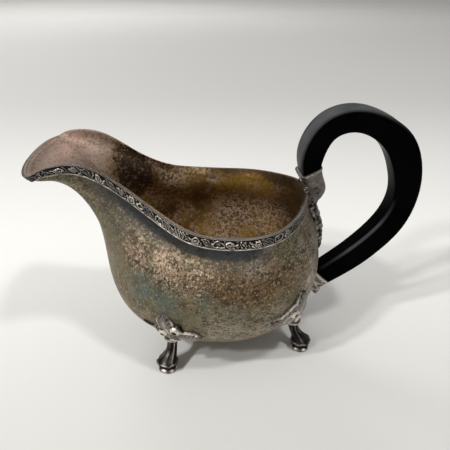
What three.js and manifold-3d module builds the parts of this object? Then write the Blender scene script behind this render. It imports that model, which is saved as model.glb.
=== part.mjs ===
import * as THREE from "three";
import { mergeVertices } from "three/addons/utils/BufferGeometryUtils.js";
import Module from "manifold-3d";

const wasm = await Module();
wasm.setup();

// A footed sauce boat in millimetres. The lip points along -X and the handle along +X, the plane of
// symmetry is y = 0, and four feet stand on z = 0. Angles round the bowl run in degrees from the lip (0)
// past the left side (90) to the handle (180), and on round the right side.

// Moves the finished pieces along X so that the whole length is centred over the origin.
const CENTRE_SHIFT = 0.75;

// The rim as a route: at each angle its place along X, its half width and its height.
const RIM_LINE = [
  { angle: 0, x: -91.9, half: 0, z: 106.5 },
  { angle: 10, x: -91, half: 13, z: 106.7 },
  { angle: 18, x: -88.4, half: 24, z: 106.9 },
  { angle: 23, x: -85.9, half: 28, z: 107.1 },
  { angle: 29, x: -81.6, half: 28, z: 109.2 },
  { angle: 38, x: -72, half: 25.4, z: 110.9 },
  { angle: 48, x: -60, half: 23.9, z: 107.9 },
  { angle: 58, x: -47, half: 24.8, z: 99.2 },
  { angle: 68, x: -34, half: 30.4, z: 90.6 },
  { angle: 80, x: -19.7, half: 38.8, z: 84.8 },
  { angle: 92, x: -4, half: 41.4, z: 82.6 },
  { angle: 104, x: 10.6, half: 39.6, z: 82.4 },
  { angle: 118, x: 22.2, half: 32.4, z: 83.4 },
  { angle: 134, x: 29.6, half: 22.5, z: 85.1 },
  { angle: 150, x: 33.6, half: 14.2, z: 86.5 },
  { angle: 165, x: 35.7, half: 6.9, z: 87.3 },
  { angle: 180, x: 36.4, half: 0, z: 87.6 },
];

// The belly under the rim: egg-shaped rings about one upright line.
const BELLY_X = -5;
const BOTTOM_Z = 11;
const BELLY_RINGS = [
  { z: 14, front: 33, rear: 27, half: 22 },
  { z: 26, front: 49, rear: 42, half: 36.8 },
  { z: 45, front: 56.3, rear: 48.8, half: 44.3 },
  { z: 65, front: 58.1, rear: 47.4, half: 44.2 },
];
const RING_STEPS = [0, 0.2, 0.4, 0.59, 0.76, 0.926, 0.96, 1];
const BAND_SHARE = 0.04;

// Under the rim, how far in and down from it the foot of the cast border's band lies, and how far back,
// sideways and down the deepest line of the hollow below that band. The lip flares out, so the band
// leans over there.
const UNDER_RIM = [
  { angle: 0, bandIn: 2.6, bandDown: 2, coveBack: 11.7, coveSide: 0, coveDown: 4.6 },
  { angle: 14, bandIn: 1.8, bandDown: 2.3, coveBack: 10.6, coveSide: 4.4, coveDown: 5.4 },
  { angle: 20, bandIn: 2.2, bandDown: 1.9, coveBack: 8.6, coveSide: 5.9, coveDown: 4.2 },
  { angle: 26, bandIn: 1.9, bandDown: 1.9, coveBack: 6.6, coveSide: 5.5, coveDown: 4.9 },
  { angle: 32, bandIn: 1.3, bandDown: 3.2, coveBack: 6.6, coveSide: 4.5, coveDown: 7.8 },
  { angle: 38, bandIn: 0.95, bandDown: 3.8, coveBack: 5.5, coveSide: 3.1, coveDown: 9.6 },
  { angle: 50, bandIn: 0.55, bandDown: 4.8, coveBack: 2.5, coveSide: 1.6, coveDown: 9 },
  { angle: 60, bandIn: 0.4, bandDown: 4.9, coveBack: 1.2, coveSide: 1.1, coveDown: 8.5 },
  { angle: 70, bandIn: 0.3, bandDown: 5, coveBack: 0.5, coveSide: 1.1, coveDown: 8 },
  { angle: 90, bandIn: 0.3, bandDown: 5, coveBack: 0, coveSide: 0.9, coveDown: 8 },
  { angle: 135, bandIn: 0.3, bandDown: 5, coveBack: 0, coveSide: 0.1, coveDown: 8 },
  { angle: 180, bandIn: 0.3, bandDown: 5, coveBack: 0.8, coveSide: 0, coveDown: 8 },
];
const WALL = 1.2;
const SEAM = 0.3;
const BOWL_COLUMNS = 72;
const BOWL_ROWS = 17;
const COLUMN_CROWDING = 8;
const ROW_CROWDING = 1.5;

// The cast border round the outside of the rim: a wire above and below a band with ornament. Its section
// gives shares of the way down the band and distances out from the wall.
const BORDER_HEIGHT = 5;
const BORDER_MIDDLE = 0.5;
const BORDER_BAND_PROUD = 0.6;
const BORDER_SECTION = [
  { share: 0.05, out: SEAM },
  { share: 0, out: 1 },
  { share: 0.11, out: 1.2 },
  { share: 0.18, out: BORDER_BAND_PROUD },
  { share: 0.82, out: BORDER_BAND_PROUD },
  { share: 0.87, out: 1.1 },
  { share: 1, out: 0.9 },
  { share: 1, out: SEAM },
  { share: 0.35, out: SEAM },
];
const BORDER_START_ANGLE = 0.25;
const BORDER_LAST_COLUMN = 31;
const ROSETTE_ANGLES = [8, 26, 42, 53, 65, 80, 97, 114, 134];
const DOME_SIDES = 8;
const DOME_BACK = 0.2;
const DOME_SHOULDER = { radius: 0.8, height: 0.7 };
const ROSETTE = { radius: 1.5, proud: 0.6 };
const SCROLL_LEAF = { away: 3.4, length: 3.2, width: 2.2, proud: 0.5, lean: 24 };

// The black loop handle: its middle line, with its width in the plane and its thickness across it.
const HANDLE_LINE = [
  { x: 36.5, z: 92, width: 9.4, thick: 14.6 },
  { x: 36.9, z: 104, width: 10.4, thick: 14.6 },
  { x: 41.4, z: 115, width: 10.5, thick: 14.6 },
  { x: 49, z: 120.5, width: 10.6, thick: 14.6 },
  { x: 58.2, z: 121.4, width: 11, thick: 14.5 },
  { x: 68.3, z: 117.8, width: 12, thick: 14.2 },
  { x: 78.3, z: 109.2, width: 13.9, thick: 14 },
  { x: 84, z: 95.5, width: 13.6, thick: 13.4 },
  { x: 84.8, z: 82, width: 12.3, thick: 12.6 },
  { x: 80.2, z: 68.3, width: 12.5, thick: 12 },
  { x: 70.5, z: 56.2, width: 12.6, thick: 11.4 },
  { x: 59.4, z: 46.4, width: 12.4, thick: 10.8 },
  { x: 43.3, z: 35.1, width: 10.8, thick: 10.4 },
];
const HANDLE_STEPS = 40;
const HANDLE_EDGE = 1.6;
const HANDLE_CORNER_STEPS = 2;
const PIN_RADIUS = 0.9;
const PIN_SIDES = 12;
const TENON_ROOT = 2;
const CUTTER_SIZE = 24;

// The flat faces where the handle meets its sockets, the way into each socket, and the tenon and pin there.
const UPPER_JOINT = {
  middle: new THREE.Vector3(36.8, 0, 96.6),
  into: new THREE.Vector3(0.303, 0, -0.953),
  tenon: { width: 4.6, thick: 9, length: 8 },
  pinLength: 15,
};
const LOWER_JOINT = {
  middle: new THREE.Vector3(46.8, 0, 38.6),
  into: new THREE.Vector3(-0.696, 0, -0.718),
  tenon: { width: 4, thick: 6, length: 4 },
  pinLength: 10.4,
};

// The upper socket from its mouth down to the tip of its leaf: inner and outer reach and half width.
const UPPER_SOCKET = [
  { z: 102, inner: 31.6, outer: 41.9, half: 7.9, square: 6 },
  { z: 97, inner: 31.6, outer: 42.3, half: 7.9, square: 6 },
  { z: 93.5, inner: 33, outer: 43.6, half: 7.5, square: 4.5 },
  { z: 90, inner: 35.2, outer: 44.9, half: 7.2, square: 3.5 },
  { z: 86.5, inner: 36, outer: 45, half: 6.6, square: 3 },
  { z: 82.5, inner: 36, outer: 43.4, half: 5, square: 2.4 },
  { z: 79, inner: 36, outer: 42.2, half: 4.2, square: 2 },
  { z: 75, inner: 36, outer: 43.6, half: 5.6, square: 2 },
  { z: 71.5, inner: 37, outer: 44.8, half: 4.6, square: 2 },
  { z: 67.5, inner: 38, outer: 46, half: 5.2, square: 2 },
  { z: 63.5, inner: 38, outer: 46.3, half: 3.9, square: 2 },
  { z: 59.5, inner: 38, outer: 46.5, half: 3.8, square: 2 },
  { z: 56, inner: 39, outer: 46.4, half: 2.4, square: 2 },
  { z: 53.5, inner: 41, outer: 45.8, half: 1, square: 2 },
];
const SOCKET_SIDES = 16;
const SCROLL = { x: 35.2, z: 90.6, radius: 1.9, length: 10, sides: 12 };

// The lower socket from its mouth back into the wall, along the run of the handle's lower end.
const LOWER_SOCKET = [
  { back: -2, width: 11.4, thick: 11.4, drop: 0.4, square: 5 },
  { back: 1.2, width: 11.4, thick: 11.4, drop: 0.4, square: 5 },
  { back: 3, width: 11, thick: 10.8, drop: 0.6, square: 4 },
  { back: 9, width: 13, thick: 12.5, drop: 1.4, square: 3 },
];

// Each foot: where its hoof stands, the direction that the hoof kicks out in, and the leaves and berries
// that spread from it over the wall, by bowl angle and height. The right side mirrors the left.
const FEET = [
  {
    name: "foot_front_left",
    x: -34.2,
    y: -25.8,
    kick: -115,
    leaves: [
      { angle: 50, z: 22, length: 14, width: 10, proud: 3.6, lean: 0 },
      { angle: 53, z: 31.5, length: 20, width: 9.6, proud: 2.6, lean: 0 },
      { angle: 45.5, z: 26.5, length: 17, width: 6.6, proud: 2.4, lean: 62 },
      { angle: 65.5, z: 27.5, length: 18, width: 7, proud: 2.4, lean: -80 },
    ],
    berries: [
      { angle: 49.5, z: 26 },
      { angle: 60, z: 32 },
    ],
  },
  {
    name: "foot_rear_left",
    x: 36.2,
    y: -14.3,
    kick: -25,
    leaves: [
      { angle: 154, z: 23, length: 15, width: 11, proud: 3.4, lean: 0 },
      { angle: 147, z: 27, length: 10, width: 10, proud: 3.2, lean: 0 },
      { angle: 141, z: 36, length: 21, width: 9, proud: 2.6, lean: 0 },
      { angle: 129, z: 30, length: 25, width: 7, proud: 2.6, lean: 74 },
      { angle: 155, z: 28, length: 14, width: 6.6, proud: 2.4, lean: -62 },
    ],
    berries: [
      { angle: 138, z: 29 },
      { angle: 150, z: 30 },
    ],
  },
];
const LEG_LEVELS = [
  { z: 0, width: 8.8, thick: 8.6, out: 0.2 },
  { z: 1.8, width: 9.4, thick: 9.2, out: 0.2 },
  { z: 2.5, width: 8.6, thick: 8.2, out: 0.2 },
  { z: 5.4, width: 9.8, thick: 9, out: 0.3 },
  { z: 8, width: 8, thick: 7, out: -1 },
  { z: 10.6, width: 5.8, thick: 5.4, out: -2.7 },
  { z: 13.4, width: 4.8, thick: 4.8, out: -3.9 },
  { z: 16, width: 5.4, thick: 5.4, out: -4.2 },
  { z: 22, width: 9, thick: 9, out: -4.6 },
];
const LEG_SQUARE = 2.3;
const LEG_SIDES = 10;
const HALVINGS = 24;
const LEAF_SIDES = { round: 8, along: 5 };
const BERRY = { radius: 1.7, proud: 2.2 };

// A short step along a curve, from which its direction is found.
const STEP = 0.01;
const MERGE_GAP = 1e-4;
const DEGREES = Math.PI / 180;

// A smooth curve through the values at the knots, either level or running on straight at both ends.
function splineThrough(knots, values, levelEnds) {
  const n = knots.length;
  const share = new Array(n).fill(0);
  const pull = new Array(n).fill(0);
  const bend = new Array(n).fill(0);
  const gap = (i) => knots[i + 1] - knots[i];
  const slope = (i) => (values[i + 1] - values[i]) / gap(i);
  if (levelEnds) {
    share[0] = -0.5;
    pull[0] = (3 * slope(0)) / gap(0);
  }
  for (let i = 1; i < n - 1; i++) {
    const both = gap(i - 1) + gap(i);
    const part = gap(i - 1) / both;
    const weight = part * share[i - 1] + 2;
    share[i] = (part - 1) / weight;
    pull[i] = ((6 * (slope(i) - slope(i - 1))) / both - part * pull[i - 1]) / weight;
  }
  if (levelEnds) {
    const endPull = (-3 * slope(n - 2)) / gap(n - 2);
    bend[n - 1] = (endPull - 0.5 * pull[n - 2]) / (0.5 * share[n - 2] + 1);
  }
  for (let i = n - 2; i >= 0; i--) bend[i] = share[i] * bend[i + 1] + pull[i];
  return (at) => {
    let i = 0;
    while (i < n - 2 && at > knots[i + 1]) i++;
    const h = gap(i);
    const a = (knots[i + 1] - at) / h;
    const b = 1 - a;
    const curve = ((a ** 3 - a) * bend[i] + (b ** 3 - b) * bend[i + 1]) * ((h * h) / 6);
    return a * values[i] + b * values[i + 1] + curve;
  };
}

// One closed surface through rings of points, each ring with the same number of them.
function loft(rings, startTip, endTip) {
  const sides = rings[0].length;
  const points = [startTip, ...rings.flat(), endTip];
  const faces = [];
  const at = (ring, i) => 1 + ring * sides + (i % sides);
  for (let i = 0; i < sides; i++) {
    faces.push(0, at(0, i + 1), at(0, i));
    faces.push(points.length - 1, at(rings.length - 1, i), at(rings.length - 1, i + 1));
  }
  for (let ring = 0; ring < rings.length - 1; ring++) {
    for (let i = 0; i < sides; i++) {
      faces.push(at(ring, i), at(ring, i + 1), at(ring + 1, i + 1));
      faces.push(at(ring, i), at(ring + 1, i + 1), at(ring + 1, i));
    }
  }
  const geometry = new THREE.BufferGeometry().setFromPoints(points);
  geometry.setIndex(faces);
  return geometry;
}

function middleOf(ring) {
  const sum = ring.reduce((total, point) => total.add(point), new THREE.Vector3());
  return sum.divideScalar(ring.length);
}

function loftCapped(rings) {
  return loft(rings, middleOf(rings[0]), middleOf(rings.at(-1)));
}

// A three.js shape as a solid that can be cut and joined.
function solidOf(geometry) {
  const bare = geometry.clone();
  bare.deleteAttribute("normal");
  bare.deleteAttribute("uv");
  const merged = mergeVertices(bare, MERGE_GAP);
  const build = (order) => {
    const triVerts = new Uint32Array(merged.index.array);
    if (order < 0) triVerts.reverse();
    const vertProperties = merged.attributes.position.array;
    return new wasm.Manifold(new wasm.Mesh({ numProp: 3, vertProperties, triVerts }));
  };
  const made = build(1);
  return made.volume() < 0 ? build(-1) : made;
}

function geometryOf(solid) {
  const mesh = solid.getMesh();
  const geometry = new THREE.BufferGeometry();
  geometry.setAttribute("position", new THREE.BufferAttribute(mesh.vertProperties, 3));
  geometry.setIndex(new THREE.BufferAttribute(mesh.triVerts, 1));
  return geometry;
}

// The largest body of a cut solid, without the slivers that the cut leaves behind.
function mainBody(solid) {
  return solid.decompose().reduce((best, body) => (body.volume() > best.volume() ? body : best));
}

function placed(geometry, matrix) {
  return solidOf(geometry.clone().applyMatrix4(matrix));
}

// A closed outline between an ellipse (square = 2) and a rectangle (square large), about the middle.
function squareEllipse(width, thick, square, sides) {
  const outline = [];
  const power = 2 / square;
  for (let i = 0; i < sides; i++) {
    const turn = ((i + 0.5) / sides) * Math.PI * 2;
    const c = Math.cos(turn);
    const s = Math.sin(turn);
    const across = Math.sign(c) * Math.abs(c) ** power * (width / 2);
    const along = Math.sign(s) * Math.abs(s) ** power * (thick / 2);
    outline.push(new THREE.Vector2(across, along));
  }
  return outline;
}

// A rectangle with rounded corners about the middle.
function roundedRectangle(width, thick, radius, cornerSteps) {
  const outline = [];
  for (let corner = 0; corner < 4; corner++) {
    const right = corner === 0 || corner === 3 ? 1 : -1;
    const top = corner < 2 ? 1 : -1;
    for (let step = 0; step <= cornerSteps; step++) {
      const turn = ((corner + step / cornerSteps) * Math.PI) / 2;
      const x = right * (width / 2 - radius) + radius * Math.cos(turn);
      const y = top * (thick / 2 - radius) + radius * Math.sin(turn);
      outline.push(new THREE.Vector2(x, y));
    }
  }
  return outline;
}

// A curve of one measure along a list of stations, by another measure of theirs.
function curveOf(stations, knot, measure, levelEnds) {
  const knots = stations.map((place) => place[knot]);
  const values = stations.map((place) => place[measure]);
  return splineThrough(knots, values, levelEnds);
}

const rimX = curveOf(RIM_LINE, "angle", "x", true);
const rimHalf = curveOf(RIM_LINE, "angle", "half", false);
const rimZ = curveOf(RIM_LINE, "angle", "z", true);

// A point of the rim. Angles past 180 come back along the right side.
function rimPoint(angle) {
  const side = angle > 180 ? 1 : -1;
  const turn = angle > 180 ? 360 - angle : angle;
  return new THREE.Vector3(rimX(turn), side * rimHalf(turn), rimZ(turn));
}

function bellyPoint(ring, angle) {
  const c = Math.cos(angle * DEGREES);
  const reach = (ring.front * (1 + c) + ring.rear * (1 - c)) / 2;
  return new THREE.Vector3(BELLY_X - reach * c, -ring.half * Math.sin(angle * DEGREES), ring.z);
}

const underRim = (measure) => curveOf(UNDER_RIM, "angle", measure, true);
const bandIn = underRim("bandIn");
const bandDown = underRim("bandDown");
const coveBack = underRim("coveBack");
const coveSide = curveOf(UNDER_RIM, "angle", "coveSide", false);
const coveDown = underRim("coveDown");

// The foot of the border's band, in and down from the rim.
function bandFoot(angle) {
  const turn = angle > 180 ? 360 - angle : angle;
  const inward = new THREE.Vector3(Math.cos(angle * DEGREES), Math.sin(angle * DEGREES), 0);
  const point = rimPoint(angle).addScaledVector(inward, bandIn(turn));
  return point.setZ(point.z - bandDown(turn));
}

// The deepest line of the hollow under the band.
function covePoint(angle) {
  const turn = angle > 180 ? 360 - angle : angle;
  const towardsMiddle = angle > 180 ? -1 : 1;
  const offset = new THREE.Vector3(coveBack(turn), towardsMiddle * coveSide(turn), -coveDown(turn));
  return rimPoint(angle).add(offset);
}

// The bowl's columns crowd at the lip and the handle, where it curves most, and its rows at the rim.
function columnAngle(column) {
  const angle = (column * 360) / BOWL_COLUMNS;
  return angle - COLUMN_CROWDING * Math.sin(2 * angle * DEGREES);
}

function rowUp(row) {
  return 1 - (1 - row / BOWL_ROWS) ** ROW_CROWDING;
}

// The outer wall's upright line at one angle, from the middle of the bottom (0) to the rim (1).
const meridians = new Map();
function meridian(angle) {
  if (!meridians.has(angle)) {
    const points = [new THREE.Vector3(BELLY_X, 0, BOTTOM_Z)];
    for (const ring of BELLY_RINGS) points.push(bellyPoint(ring, angle));
    points.push(covePoint(angle), bandFoot(angle), rimPoint(angle));
    let length = 0;
    points.forEach((point, i) => {
      length += i > 0 ? point.distanceTo(points[i - 1]) : 0;
      point.length = length;
    });
    const curves = ["x", "y", "z"].map((axis) => curveOf(points, "length", axis, false));
    meridians.set(angle, (up) => {
      let i = 0;
      while (i < RING_STEPS.length - 2 && up > RING_STEPS[i + 1]) i++;
      const share = (up - RING_STEPS[i]) / (RING_STEPS[i + 1] - RING_STEPS[i]);
      const reached = points[i].length + share * (points[i + 1].length - points[i].length);
      return new THREE.Vector3(...curves.map((curve) => curve(reached)));
    });
  }
  return meridians.get(angle);
}

// A point of the outer wall, with the directions out of it, up it and round it.
function wallAt(angle, up) {
  const low = Math.min(Math.max(up, STEP), 1 - STEP);
  const upward = meridian(angle)(low + STEP).sub(meridian(angle)(low - STEP)).normalize();
  const next = meridian((angle + 1) % 360)(low);
  const last = meridian((angle + 359) % 360)(low);
  const round = next.sub(last).normalize();
  const out = new THREE.Vector3().crossVectors(round, upward);
  if (up === 1) out.setZ(0);
  return { point: meridian(angle)(up), out: out.normalize(), upward, round };
}

// The rings of the outer wall moved outwards by a gap, from the bottom up.
function wallRings(gap) {
  const rings = [];
  for (let row = 1; row <= BOWL_ROWS; row++) {
    const ring = [];
    for (let column = 0; column < BOWL_COLUMNS; column++) {
      const wall = wallAt(columnAngle(column), rowUp(row));
      ring.push(wall.point.addScaledVector(wall.out, gap));
    }
    rings.push(ring);
  }
  return rings;
}

// The bowl's sheet of metal between two distances from its outer face.
function wallShell(outerGap, innerGap) {
  const outer = wallRings(outerGap);
  const inner = wallRings(-innerGap).reverse();
  const outerPole = new THREE.Vector3(BELLY_X, 0, BOTTOM_Z - outerGap);
  const innerPole = new THREE.Vector3(BELLY_X, 0, BOTTOM_Z + innerGap);
  return solidOf(loft([...outer, ...inner], outerPole, innerPole));
}

function bodyFilled(gap) {
  const rings = wallRings(gap);
  return solidOf(loft(rings, new THREE.Vector3(BELLY_X, 0, BOTTOM_Z - gap), middleOf(rings.at(-1))));
}

const bowlSolid = wallShell(0, WALL);
const bowlWithGap = wallShell(SEAM, WALL + SEAM);
const bodyWithGap = bodyFilled(SEAM);

// A point of the border: a share of the way down its band and a distance out from the wall.
function borderPoint(angle, share, out) {
  const wall = wallAt(angle, 1 - share * BAND_SHARE);
  return wall.point.addScaledVector(wall.out, out);
}

// A low dome with its flat back just under the band's face.
function dome(halfLength, halfWidth, proud) {
  const points = [
    new THREE.Vector2(0, -DOME_BACK),
    new THREE.Vector2(1, -DOME_BACK),
    new THREE.Vector2(DOME_SHOULDER.radius, DOME_SHOULDER.height * proud),
    new THREE.Vector2(0, proud),
  ];
  return new THREE.LatheGeometry(points, DOME_SIDES).rotateX(Math.PI / 2).scale(halfLength, halfWidth, 1);
}

// A shape set on the border's band, its own Z out of the wall, turned in the band by a lean. It shrinks
// with the band at the lip.
function onBorder(geometry, angle, along, lean) {
  const scale = Math.hypot(bandDown(angle), bandIn(angle)) / BORDER_HEIGHT;
  const wall = wallAt(angle, 1 - BORDER_MIDDLE * BAND_SHARE);
  const place = borderPoint(angle, BORDER_MIDDLE, BORDER_BAND_PROUD);
  place.addScaledVector(wall.round, along * scale);
  const basis = new THREE.Matrix4().makeBasis(wall.round, wall.upward, wall.out).setPosition(place);
  return placed(geometry.clone().rotateZ(lean * DEGREES).scale(scale, scale, 1), basis);
}

// One half of the border, from the middle of the lip to the upper socket.
function borderSolid() {
  const rings = [];
  for (let column = 0; column <= BORDER_LAST_COLUMN; column++) {
    const angle = Math.max(columnAngle(column), BORDER_START_ANGLE);
    rings.push(BORDER_SECTION.map(({ share, out }) => borderPoint(angle, share, out)));
  }
  const rosette = dome(ROSETTE.radius, ROSETTE.radius, ROSETTE.proud);
  const leaf = dome(SCROLL_LEAF.length / 2, SCROLL_LEAF.width / 2, SCROLL_LEAF.proud);
  let made = solidOf(loftCapped(rings));
  for (const angle of ROSETTE_ANGLES) {
    made = made.add(onBorder(rosette, angle, 0, 0));
    for (const side of [-1, 1]) {
      made = made.add(onBorder(leaf, angle, side * SCROLL_LEAF.away, side * SCROLL_LEAF.lean));
    }
  }
  return mainBody(made);
}

// The handle's middle line, widths and directions at a share of its length.
const handleKnots = HANDLE_LINE.map((_, i) => i);
const handleCurve = (key) => splineThrough(handleKnots, HANDLE_LINE.map((place) => place[key]), false);
const handleX = handleCurve("x");
const handleZ = handleCurve("z");
const handleWidth = handleCurve("width");
const handleThick = handleCurve("thick");

function handleFrame(at) {
  const ahead = new THREE.Vector3(handleX(at + STEP), 0, handleZ(at + STEP));
  const run = ahead.sub(new THREE.Vector3(handleX(at - STEP), 0, handleZ(at - STEP))).normalize();
  const across = new THREE.Vector3(run.z, 0, -run.x);
  return { middle: new THREE.Vector3(handleX(at), 0, handleZ(at)), run, across };
}

function handleRing(at) {
  const frame = handleFrame(at);
  const outline = roundedRectangle(handleWidth(at), handleThick(at), HANDLE_EDGE, HANDLE_CORNER_STEPS);
  return outline.map((point) => {
    const place = frame.middle.clone().addScaledVector(frame.across, point.x);
    place.y += point.y;
    return place;
  });
}

// A solid placed at a joint: its own Z runs into the socket and its Y lies across the handle.
function atJoint(joint, geometry, depth) {
  const across = new THREE.Vector3(0, 1, 0).cross(joint.into);
  const basis = new THREE.Matrix4().makeBasis(across, new THREE.Vector3(0, 1, 0), joint.into);
  basis.setPosition(joint.middle.clone().addScaledVector(joint.into, depth));
  return placed(geometry, basis);
}

// Everything on one side of a joint's face: side 1 is the socket's, side -1 the handle's.
function beyondFace(joint, side, gap) {
  const block = new THREE.BoxGeometry(CUTTER_SIZE, CUTTER_SIZE, CUTTER_SIZE);
  return atJoint(joint, block, side * (CUTTER_SIZE / 2 - gap));
}

function tenonSolid(joint, gap) {
  const length = joint.tenon.length + gap + TENON_ROOT;
  const block = new THREE.BoxGeometry(joint.tenon.width + 2 * gap, joint.tenon.thick + 2 * gap, length);
  return atJoint(joint, block, length / 2 - TENON_ROOT);
}

function pinSolid(joint, gap) {
  const radius = PIN_RADIUS + gap;
  const pin = new THREE.CylinderGeometry(radius, radius, joint.pinLength + 2 * gap, PIN_SIDES);
  return atJoint(joint, pin, joint.tenon.length / 2);
}

function handleSolid() {
  const rings = [];
  const end = HANDLE_LINE.length - 1;
  for (let step = 0; step <= HANDLE_STEPS; step++) rings.push(handleRing((step / HANDLE_STEPS) * end));
  const cut = solidOf(loftCapped(rings))
    .subtract(beyondFace(UPPER_JOINT, 1, 0))
    .subtract(beyondFace(LOWER_JOINT, 1, 0))
    .add(tenonSolid(UPPER_JOINT, 0))
    .add(tenonSolid(LOWER_JOINT, 0))
    .subtract(pinSolid(UPPER_JOINT, SEAM))
    .subtract(pinSolid(LOWER_JOINT, SEAM));
  return mainBody(cut);
}

// Opens a socket's casting for the handle: its mouth face, the hollow for the tenon and the pin's bore.
function openSocket(casting, joint) {
  const opened = casting
    .subtract(beyondFace(joint, -1, SEAM))
    .subtract(tenonSolid(joint, SEAM))
    .subtract(pinSolid(joint, SEAM));
  return mainBody(opened);
}

function upperSocketSolid() {
  const rings = UPPER_SOCKET.map((level) => {
    const outline = squareEllipse(level.outer - level.inner, 2 * level.half, level.square, SOCKET_SIDES);
    const middle = (level.outer + level.inner) / 2;
    return outline.map((point) => new THREE.Vector3(middle + point.x, point.y, level.z));
  });
  const scroll = new THREE.CylinderGeometry(SCROLL.radius, SCROLL.radius, SCROLL.length, SCROLL.sides);
  const scrollPlace = new THREE.Matrix4().setPosition(SCROLL.x, 0, SCROLL.z);
  const casting = solidOf(loftCapped(rings)).add(placed(scroll, scrollPlace)).subtract(bowlWithGap);
  return openSocket(casting, UPPER_JOINT);
}

function lowerSocketSolid() {
  const { into, middle } = LOWER_JOINT;
  const across = new THREE.Vector3(-into.z, 0, into.x);
  const rings = LOWER_SOCKET.map((level) => {
    const outline = squareEllipse(level.width, level.thick, level.square, SOCKET_SIDES);
    return outline.map((point) => {
      const place = middle.clone().addScaledVector(into, level.back);
      place.y += point.y;
      return place.addScaledVector(across, point.x + level.drop);
    });
  });
  return openSocket(solidOf(loftCapped(rings)).subtract(bodyWithGap), LOWER_JOINT);
}

// The place of a height on the belly's upright line, found by halving.
function upAtHeight(angle, z) {
  let low = 0;
  let high = RING_STEPS[BELLY_RINGS.length];
  for (let halving = 0; halving < HALVINGS; halving++) {
    const middle = (low + high) / 2;
    if (meridian(angle)(middle).z < z) low = middle;
    else high = middle;
  }
  return low;
}

// A flattened leaf lobe lying on the wall, its tip leaning to one side.
function lobe(leaf) {
  const wall = wallAt(leaf.angle, upAtHeight(leaf.angle, leaf.z));
  const ball = new THREE.SphereGeometry(1, LEAF_SIDES.round, LEAF_SIDES.along);
  ball.scale(leaf.width / 2, leaf.length / 2, leaf.proud);
  ball.rotateZ(leaf.lean * DEGREES);
  const basis = new THREE.Matrix4().makeBasis(wall.round, wall.upward, wall.out);
  basis.setPosition(wall.point);
  return placed(ball, basis);
}

function berry(place) {
  const wall = wallAt(place.angle, upAtHeight(place.angle, place.z));
  const ball = new THREE.SphereGeometry(BERRY.radius, LEAF_SIDES.round, LEAF_SIDES.along);
  const middle = wall.point.addScaledVector(wall.out, BERRY.proud);
  return placed(ball, new THREE.Matrix4().setPosition(middle));
}

function legSolid(foot) {
  const kick = new THREE.Vector3(Math.cos(foot.kick * DEGREES), Math.sin(foot.kick * DEGREES), 0);
  const side = new THREE.Vector3(-kick.y, kick.x, 0);
  const rings = LEG_LEVELS.map((level) => {
    const outline = squareEllipse(level.width, level.thick, LEG_SQUARE, LEG_SIDES);
    return outline.map((point) => {
      const place = new THREE.Vector3(foot.x, foot.y, level.z);
      return place.addScaledVector(kick, point.y + level.out).addScaledVector(side, point.x);
    });
  });
  return solidOf(loftCapped(rings));
}

function footSolid(foot) {
  let made = legSolid(foot);
  for (const leaf of foot.leaves) made = made.add(lobe(leaf));
  for (const place of foot.berries) made = made.add(berry(place));
  return mainBody(made.subtract(bodyWithGap));
}

function mirrored(solid) {
  const geometry = geometryOf(solid).applyMatrix4(new THREE.Matrix4().makeScale(1, -1, 1));
  return solidOf(geometry);
}

const silver = { color: 0x8f8374, roughness: 0.42, metalness: 0.85 };
const darkSilver = { color: 0x6c665e, roughness: 0.45, metalness: 0.85 };
const black = { color: 0x0b0b0d, roughness: 0.25, metalness: 0 };

const sauceBoat = new THREE.Group();

function addPiece(name, solid, finish) {
  const geometry = geometryOf(solid).translate(CENTRE_SHIFT, 0, 0);
  const mesh = new THREE.Mesh(geometry, new THREE.MeshStandardMaterial(finish));
  mesh.name = name;
  sauceBoat.add(mesh);
}

addPiece("bowl", bowlSolid, silver);
const border = borderSolid();
addPiece("rim_border_left", border, darkSilver);
addPiece("rim_border_right", mirrored(border), darkSilver);
addPiece("upper_socket", upperSocketSolid(), darkSilver);
addPiece("lower_socket", lowerSocketSolid(), darkSilver);
addPiece("handle", handleSolid(), black);
addPiece("upper_handle_pin", pinSolid(UPPER_JOINT, 0), darkSilver);
addPiece("lower_handle_pin", pinSolid(LOWER_JOINT, 0), darkSilver);
for (const foot of FEET) {
  const solid = footSolid(foot);
  addPiece(foot.name, solid, darkSilver);
  addPiece(foot.name.replace("left", "right"), mirrored(solid), darkSilver);
}

export default sauceBoat;
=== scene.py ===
import math
import bmesh
import bpy
import numpy as np
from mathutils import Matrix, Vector


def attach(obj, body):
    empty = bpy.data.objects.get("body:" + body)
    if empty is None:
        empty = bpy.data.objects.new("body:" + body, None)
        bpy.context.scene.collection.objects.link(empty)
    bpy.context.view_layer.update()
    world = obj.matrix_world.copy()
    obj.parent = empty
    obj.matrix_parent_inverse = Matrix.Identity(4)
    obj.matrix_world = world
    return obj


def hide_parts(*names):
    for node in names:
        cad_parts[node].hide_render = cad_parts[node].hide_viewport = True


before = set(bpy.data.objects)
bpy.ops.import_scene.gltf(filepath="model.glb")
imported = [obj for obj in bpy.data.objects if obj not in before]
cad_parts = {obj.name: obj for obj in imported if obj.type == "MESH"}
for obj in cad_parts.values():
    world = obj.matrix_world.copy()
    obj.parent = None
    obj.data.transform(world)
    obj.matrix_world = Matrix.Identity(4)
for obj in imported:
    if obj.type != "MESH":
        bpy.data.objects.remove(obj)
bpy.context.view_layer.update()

mm = 0.001
mergeWithin = 1e-6  # metres; corners closer than this are one
thinnest = 1e-7  # metres; edges shorter than this go
print("frame loaded")


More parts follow.
